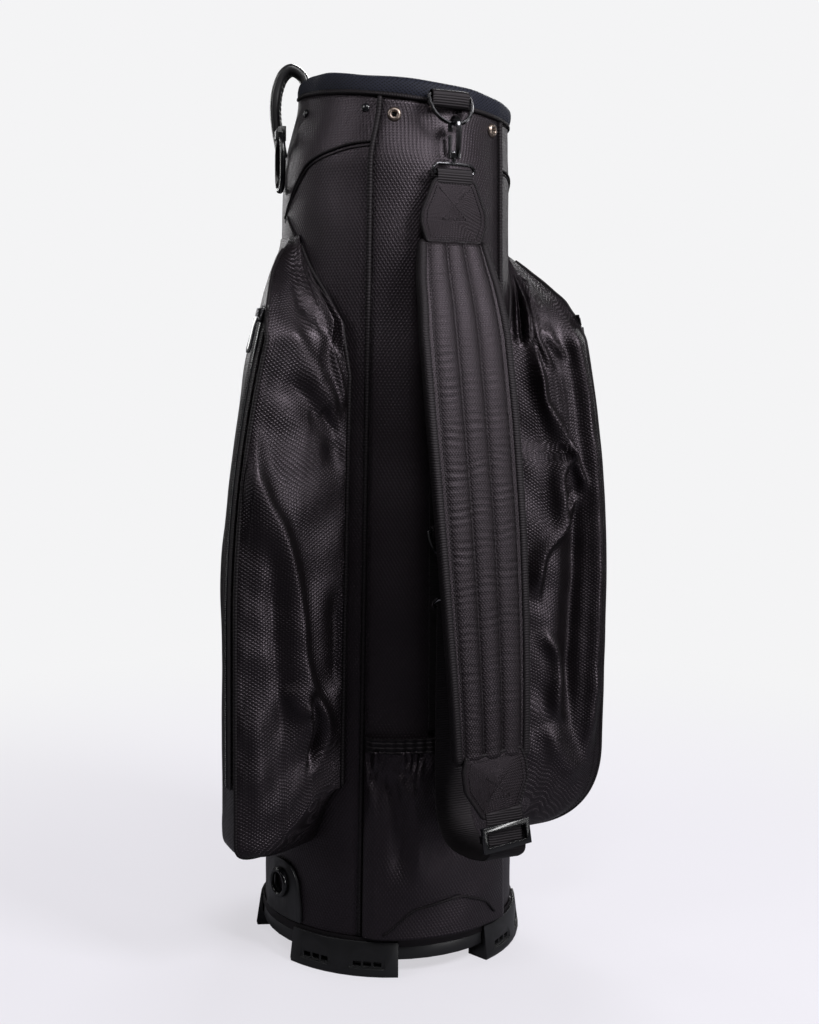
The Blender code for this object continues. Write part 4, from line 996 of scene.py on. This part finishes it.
def make_pad():
    """The shoulder pad: three stuffed ridges between sewn channels, creased across where it bends."""
    path, normals = pad_line()
    order = np.argsort(PAD_WIDTH[:, 0])
    width = np.interp(path[:, 2], PAD_WIDTH[order, 0], PAD_WIDTH[order, 1])[:, None]
    a = np.linspace(-1, 1, 75)[None]
    ridge = stuffed(a, -0.50, 0.0030) + stuffed(a, 0, 0.0032) + stuffed(a, 0.50, 0.0030)
    z = path[:, 2:3]
    bend = 0.35 + 0.65 * bell(z - 0.45, 0.13)
    wobble = waves(a * 0.05, z, 31, 0.06)
    across = np.cos(z * WAVE / 0.0072 + 1.3 * wobble + 1.5 * a) * (0.6 + 0.4 * np.cos(z * WAVE / 0.037 + 3 * a))
    crease = -0.0007 * bend * np.clip(across, -0.3, 1) * (ridge > 0.0004) * (1 + 0.5 * ease((a - 0.2) / 0.3))
    ends = np.clip(np.minimum(z - PAD_LOW, PAD_HIGH - z) / 0.006, 0, 1) ** 0.5
    lip = np.clip((1 - abs(a)) / 0.05, 0, 1) ** 0.5 * ends
    front = (0.0032 + ridge + crease) * lip
    back = -0.0050 * lip + 0 * z
    level = a * width / 2
    section = np.concatenate([np.stack([level, front], -1), np.stack([level, back], -1)[:, -2:0:-1]], 1)
    turned = strap_turned(normals)
    rings = swept(strap_place(path), turned, section)
    obj = closed_piece(
        "shoulder_pad_cloth", rings, PAD_CLOTH, ("shoulder_pad",), "strap",
    )
    side = strap_turned([[1, 0, 0]])[0]
    for label, sign in (("left", -1), ("right", 1)):
        edge = strap_place(path) + side * sign * (width / 2 - 0.0034)
        ribs = 0.0004 * np.cos(lengths(path) * WAVE / 0.0046)[:, None]
        lip = np.broadcast_to(slab(0.0090, 0.0115, 20, 3), (len(path), 20, 2)).copy()
        lip[..., 1] *= 1 + ribs / 0.006
        to_end = np.minimum(path[:, 2] - PAD_LOW, PAD_HIGH - path[:, 2])
        lip *= (np.clip(to_end / 0.005, 0.15, 1) ** 0.5)[:, None, None]
        tape = swept(edge - turned * 0.0006, turned, lip)
        closed_piece(f"shoulder_pad_binding_{label}", tape, BINDING, body="strap")
    for i, place in enumerate((-0.76, -0.25, 0.25, 0.76)):
        line = strap_place(path) + side * (place * width / 2) + turned * 0.0034
        stitched(
            f"shoulder_pad_stitches_{i + 1}", line, turned, 0.0040, 0.0026, 0.0009, 0.0006,
            body="strap",
        )


def tab_grid(outline, thickness, dome, count=180, rings=16):
    """A sewn tab on its own XY plane: rings of its outline drawn in to the middle, on a domed front."""
    loop = np.concatenate([outline, outline[:1]])
    run = lengths(loop)
    at = np.linspace(0, run[-1], count, endpoint=False)
    edge = np.stack([np.interp(at, run, axis) for axis in loop.T], -1)
    kernel = soft_kernel(4, 2.2)
    wide = np.concatenate([edge[-4:], edge, edge[:4]])
    edge = np.stack([np.convolve(row, kernel, "valid") for row in wide.T], -1)
    r = np.sin(np.linspace(0.02, math.pi / 2, rings))
    height = thickness / 2 + dome * (1 - r**2)
    height[-2:] -= np.array([0.25, 0.75]) * thickness / 2
    centre = edge.mean(0)
    flat = centre + (edge - centre) * r[:, None, None]
    front = np.concatenate([flat, np.broadcast_to(height[:, None, None], (rings, count, 1))], -1)
    back = front[::-1] * (1, 1, 0) - np.array([0, 0, thickness / 2])
    back[0, :, 2] = -thickness / 4
    return np.concatenate([front, back]), edge


def make_tab(name, outline, centre, lean, thickness, dome, node_name, stitch_loops):
    """A sewn tab. Its own X is across the strap, its Y up it and its Z away from the bag."""
    c, s = math.cos(lean[0]), math.sin(lean[0])
    cr, sr = math.cos(lean[1]), math.sin(lean[1])

    def place(points):
        x, y, h = np.moveaxis(np.asarray(points, float), -1, 0)
        x, y = cr * x + sr * y, cr * y - sr * x
        return strap_place(np.stack([x, -h * c + y * s, y * c + h * s], -1) + centre)

    grid, edge = tab_grid(outline, thickness, dome)
    closed_piece(name, place(grid), PAD_CLOTH, (node_name,), "strap")
    rim = np.concatenate([edge * 0.985, np.full((len(edge), 1), thickness * 0.30)], -1)
    facing = place([[0, 0, 1.0]])[0] - place([[0, 0, 0.0]])[0]
    cord = swept(place(rim), np.tile(facing, (len(rim), 1)), circle(0.0019), closed=True)
    piece(
        name + "_piping", grid_mesh(name + "_piping", cord, True, False, True), PIPING, "strap",
    )
    for i, loop in enumerate(stitch_loops):
        line = millimetres(*loop)
        reach = np.linalg.norm(line / (0.034, 0.030), axis=-1, keepdims=True)
        path = np.concatenate([line, thickness / 2 + dome * np.clip(1 - reach**2, 0, 1) + 0.0003], -1)
        legs = [np.linspace(a, b, 20, endpoint=False) for a, b in zip(path[:-1], path[1:])]
        fine = place(np.concatenate(legs + [path[-1:]]))
        up = np.tile(facing, (len(fine), 1))
        stitched(f"{name}_stitches_{i + 1}", fine, up, 0.0030, 0.0021, 0.0009, 0.0007, body="strap")


TOP_TAB = millimetres(
    (-18.5, 28.5), (18.5, 28.5), (22.5, 25.5), (34.5, -4), (35, -15), (29, -32), (-29, -32),
    (-35, -15), (-34.5, -4), (-22.5, 25.5),
)
BOTTOM_TAB = millimetres(
    (-30, 33), (30, 33), (34, 20), (34, 2), (19, -26.5), (-19, -26.5), (-34, 2), (-34, 20),
)


def make_tabs():
    """Both tabs, each with a line of stitches inside its edge, a cross and a bar, in millimetres."""
    thick, bar = 0.0050, [(-14, -10), (14, -10)]
    inset = 0.84 * 1000 * np.concatenate([TOP_TAB, TOP_TAB[:1]])
    loops = (inset, [(-17, 20), (13, -10)], [(17, 20), (-13, -10)], bar)
    make_tab(
        "strap_top_tab_cloth", TOP_TAB, (0, -0.1300, 0.7600), (0.0, 0.0), thick, 0.0014,
        "strap_top_tab", loops,
    )
    inset = 0.84 * 1000 * np.concatenate([BOTTOM_TAB, BOTTOM_TAB[:1]])
    loops = (inset, [(-12, 12), (12, -10)], [(12, 12), (-12, -10)], bar)
    lean = (math.radians(5), math.radians(-6))
    place = (0.0035, -0.2290, 0.2172)
    make_tab("strap_bottom_tab_cloth", BOTTOM_TAB, place, lean, thick, 0.0012, "strap_bottom_tab", loops)


def webbing_band(name, flat, shifts, width, body, replaces=()):
    """Webbing along a path of (s, z) in the strap frame, moved sideways by shifts along it."""
    run = lengths(np.asarray(flat, float))
    path2 = even_path(flat, 0.0016)
    fine = lengths(path2)
    sideways = np.interp(fine / fine[-1], run / run[-1], shifts)
    path = np.stack([sideways, -path2[:, 0], path2[:, 1]], -1)
    tangent = unit(np.gradient(np.stack([0 * sideways, path[:, 1], path[:, 2]], -1), axis=0))
    normals = np.cross(tangent, [1, 0, 0])
    band = swept(strap_place(path), strap_turned(normals), slab(width, 0.0017, 28))
    closed_piece(name, band, TAPE, replaces, body)


def curled(bar, radius, start, end, count):
    """Points (s, z) of webbing rolled round a bar, between two angles in degrees."""
    turn = np.linspace(math.radians(start), math.radians(end), count)
    return [(bar[0] + radius * math.cos(a), bar[1] + radius * math.sin(a)) for a in turn]


def make_strap_webbing():
    """Webbing from the buckle down, round and up behind the pad, and the short fold at the strap's top."""
    s0, z0, lean = 0.2364, 0.172, math.tan(math.radians(6))
    straight = [(s0 + 0.1 * (z0 - z), z) for z in (0.1960, 0.1800, 0.1680, 0.1590)]
    bend = millimetres(
        (237, 155), (233.5, 150.5), (226, 146.5), (206, 144), (180, 146), (160, 156), (149.8, 175),
        (147.2, 202), (146.4, 240), (146.1, 300), (146, 356),
    )
    flat = np.concatenate([straight, bend, curled((0.1428, 0.3753), 0.0032, 0, 215, 9)])
    run = lengths(flat)
    start = 0.0105 - lean * 0.0173
    shifts = np.where(
        run < 0.034, start + lean * run, (start + lean * 0.034) * (1 - ease((run - 0.034) / 0.070)),
    )
    webbing_band("strap_webbing_cloth", flat, shifts, 0.0392, "strap", ("strap_webbing",))
    flat = [(0.1305, 0.7760), (0.1328, 0.7880)] + curled((0.1300, 0.7945), 0.0032, 0, 235, 10)
    webbing_band("strap_top_webbing", flat, np.zeros(len(flat)), 0.0380, "strap")


def make_ring_loop(word, bar, length):
    """A fold of webbing rolled round a D-ring's straight bar and sewn down to the bag below it."""
    s, z = bar
    front = [(s + 0.0020, z - length), (s + 0.0036, z - 0.006)]
    back = [(s - 0.0040, z - 0.006), (s - 0.0036, z - length)]
    flat = front + curled(bar, 0.0044, -20, 200, 14) + back
    webbing_band(
        f"{word}_ring_loop_cloth", flat, np.zeros(len(flat)), 0.0400, "bag", (f"{word}_ring_loop",),
    )


# ---------------------------------------------------------------- stage, light and camera


PAPER = "#f4f4f5"


def seen_glow(tree, strength):
    """Strength for the view alone, so that the paper's brightness doesn't flatten the bag's shading."""
    path = node(tree, "ShaderNodeLightPath")
    return maths(tree, "MULTIPLY", path.outputs["Is Camera Ray"], strength)


def make_stage():
    """A round sheet of pale paper, faintly violet near the bag, that melts into the air at its rim."""
    turn = np.linspace(0, 2 * math.pi, 97)[:-1]
    radius = np.linspace(0.02, 4.0, 24)[:, None]
    points = np.stack(np.broadcast_arrays(radius * np.cos(turn), radius * np.sin(turn), 0.0), -1)
    mesh = grid_mesh("studio_floor", points[::-1], True)
    material, tree, shader = start_material("matt_paper_floor", 0.95, constants={"Specular IOR Level": 0.0})
    where = node(tree, "ShaderNodeTexCoord")
    far = node(tree, "ShaderNodeVectorMath", {"operation": "LENGTH"}, {0: where.outputs["Object"]})
    limits = {0: far.outputs["Value"], 1: 0.35, 2: 1.5}
    fade = node(tree, "ShaderNodeMapRange", {"interpolation_type": "SMOOTHSTEP"}, limits)
    shader.inputs["Base Color"].default_value = hex_linear("#7b7a80")
    shader.inputs["Emission Color"].default_value = hex_linear("#ebe9ee")
    tree.links.new(seen_glow(tree, 0.72), shader.inputs["Emission Strength"])
    air = node(
        tree, "ShaderNodeEmission",
        inputs={"Color": hex_linear(PAPER), "Strength": seen_glow(tree, 1.0)},
    )
    melted = node(
        tree, "ShaderNodeMixShader",
        inputs={0: fade.outputs[0], 1: shader.outputs[0], 2: air.outputs[0]},
    )
    tree.links.new(melted.outputs[0], tree.nodes["Material Output"].inputs["Surface"])
    obj = bpy.data.objects.new("studio_floor", mesh)
    mesh.materials.append(material)
    bpy.context.scene.collection.objects.link(obj)


def softbox(name, place, target, size, power):
    """A rectangular area light that faces a point."""
    data = bpy.data.lights.new(name, "AREA")
    data.shape = "RECTANGLE"
    data.size, data.size_y = size
    data.energy = power
    obj = bpy.data.objects.new(name, data)
    forward = np.array(target, float) - np.array(place, float)
    obj.matrix_world = Matrix.Translation(place) @ Vector(forward).to_track_quat(
        "-Z", "Y",
    ).to_matrix().to_4x4()
    bpy.context.scene.collection.objects.link(obj)


# Name, place, point it faces, width and height in metres, and power in watts.
SOFTBOXES = (
    ("key_right", (1.20, -1.05, 1.70), (0, 0, 0.72), (0.55, 0.7), 40),
    ("fill_left", (-1.35, -0.75, 1.55), (0, 0, 0.70), (0.5, 0.7), 7),
    ("front_high", (0.05, -1.45, 1.95), (0, 0, 0.65), (0.6, 0.6), 12),
    ("kick_right", (1.15, -1.15, 0.40), (-0.15, 0, 0.34), (0.12, 0.5), 5),
    ("rim_left", (-1.7, 0.55, 0.80), (-0.15, 0, 0.45), (0.3, 1.4), 2.5),
    ("rim_right", (1.7, 0.45, 0.80), (0.15, 0, 0.45), (0.3, 1.4), 1.5),
    ("back_high", (0.2, 1.7, 1.8), (0, 0, 0.55), (0.8, 0.8), 34),
    ("back_left", (-1.2, 1.5, 1.3), (0, 0, 0.45), (0.5, 1.0), 8),
    ("back_right", (1.2, 1.5, 1.3), (0, 0, 0.45), (0.5, 1.0), 4),
)


def make_light():
    """Large soft sources above, narrow ones low and at the sides, three behind, and dim air."""
    world = bpy.data.worlds.new("studio_air")
    bpy.context.scene.world = world
    world.use_nodes = True
    tree = world.node_tree
    background = tree.nodes["Background"]
    background.inputs[0].default_value = hex_linear(PAPER)
    tree.links.new(maths(tree, "ADD", seen_glow(tree, 0.96), 0.04), background.inputs[1])
    for row in SOFTBOXES:
        softbox(*row)


def make_camera():
    """A 49 mm lens 1.48 m in front of the tube's axis and 0.61 m up, tipped down 6 degrees."""
    data = bpy.data.cameras.new("camera")
    data.sensor_width = 36
    data.lens = 48.94
    obj = bpy.data.objects.new("camera", data)
    place = Matrix.Translation((AXIS[0] + 0.0186, AXIS[1] - 1.48, 0.61))
    tip = Matrix.Rotation(math.radians(90 - 6), 4, "X")
    roll = Matrix.Rotation(math.radians(0.73), 4, "Z")
    obj.matrix_world = place @ tip @ roll
    bpy.context.scene.collection.objects.link(obj)
    bpy.context.scene.camera = obj


# ---------------------------------------------------------------- the bag

finish_nodes()
make_tube()
make_side_pocket("left", -1, 0.128, 0.030, 5.0, LEFT_FOLDS, 0.062)
make_side_pocket("right", 1, 0.112, 0.095, 2.5, RIGHT_FOLDS, 0.030)
make_front_pocket("ball", 0.100, 0.375, 0.086, 0.205, 0.335, 0.050, 41)
make_front_pocket("accessory", 0.405, 0.690, 0.072, 0.162, 0.640, 0.040, 43)
make_bottle_pocket()
make_spine_webbing()
make_collar()
make_snaps()
make_handle()
make_pad()
make_tabs()
make_strap_webbing()
make_ring_loop("upper", (0.1187, 0.8685), 0.011)
make_ring_loop("lower", (0.1315, 0.4493), 0.012)
make_stage()
make_light()
make_camera()

bpy.context.scene.view_settings.view_transform = "Standard"
bpy.context.view_layer.update()
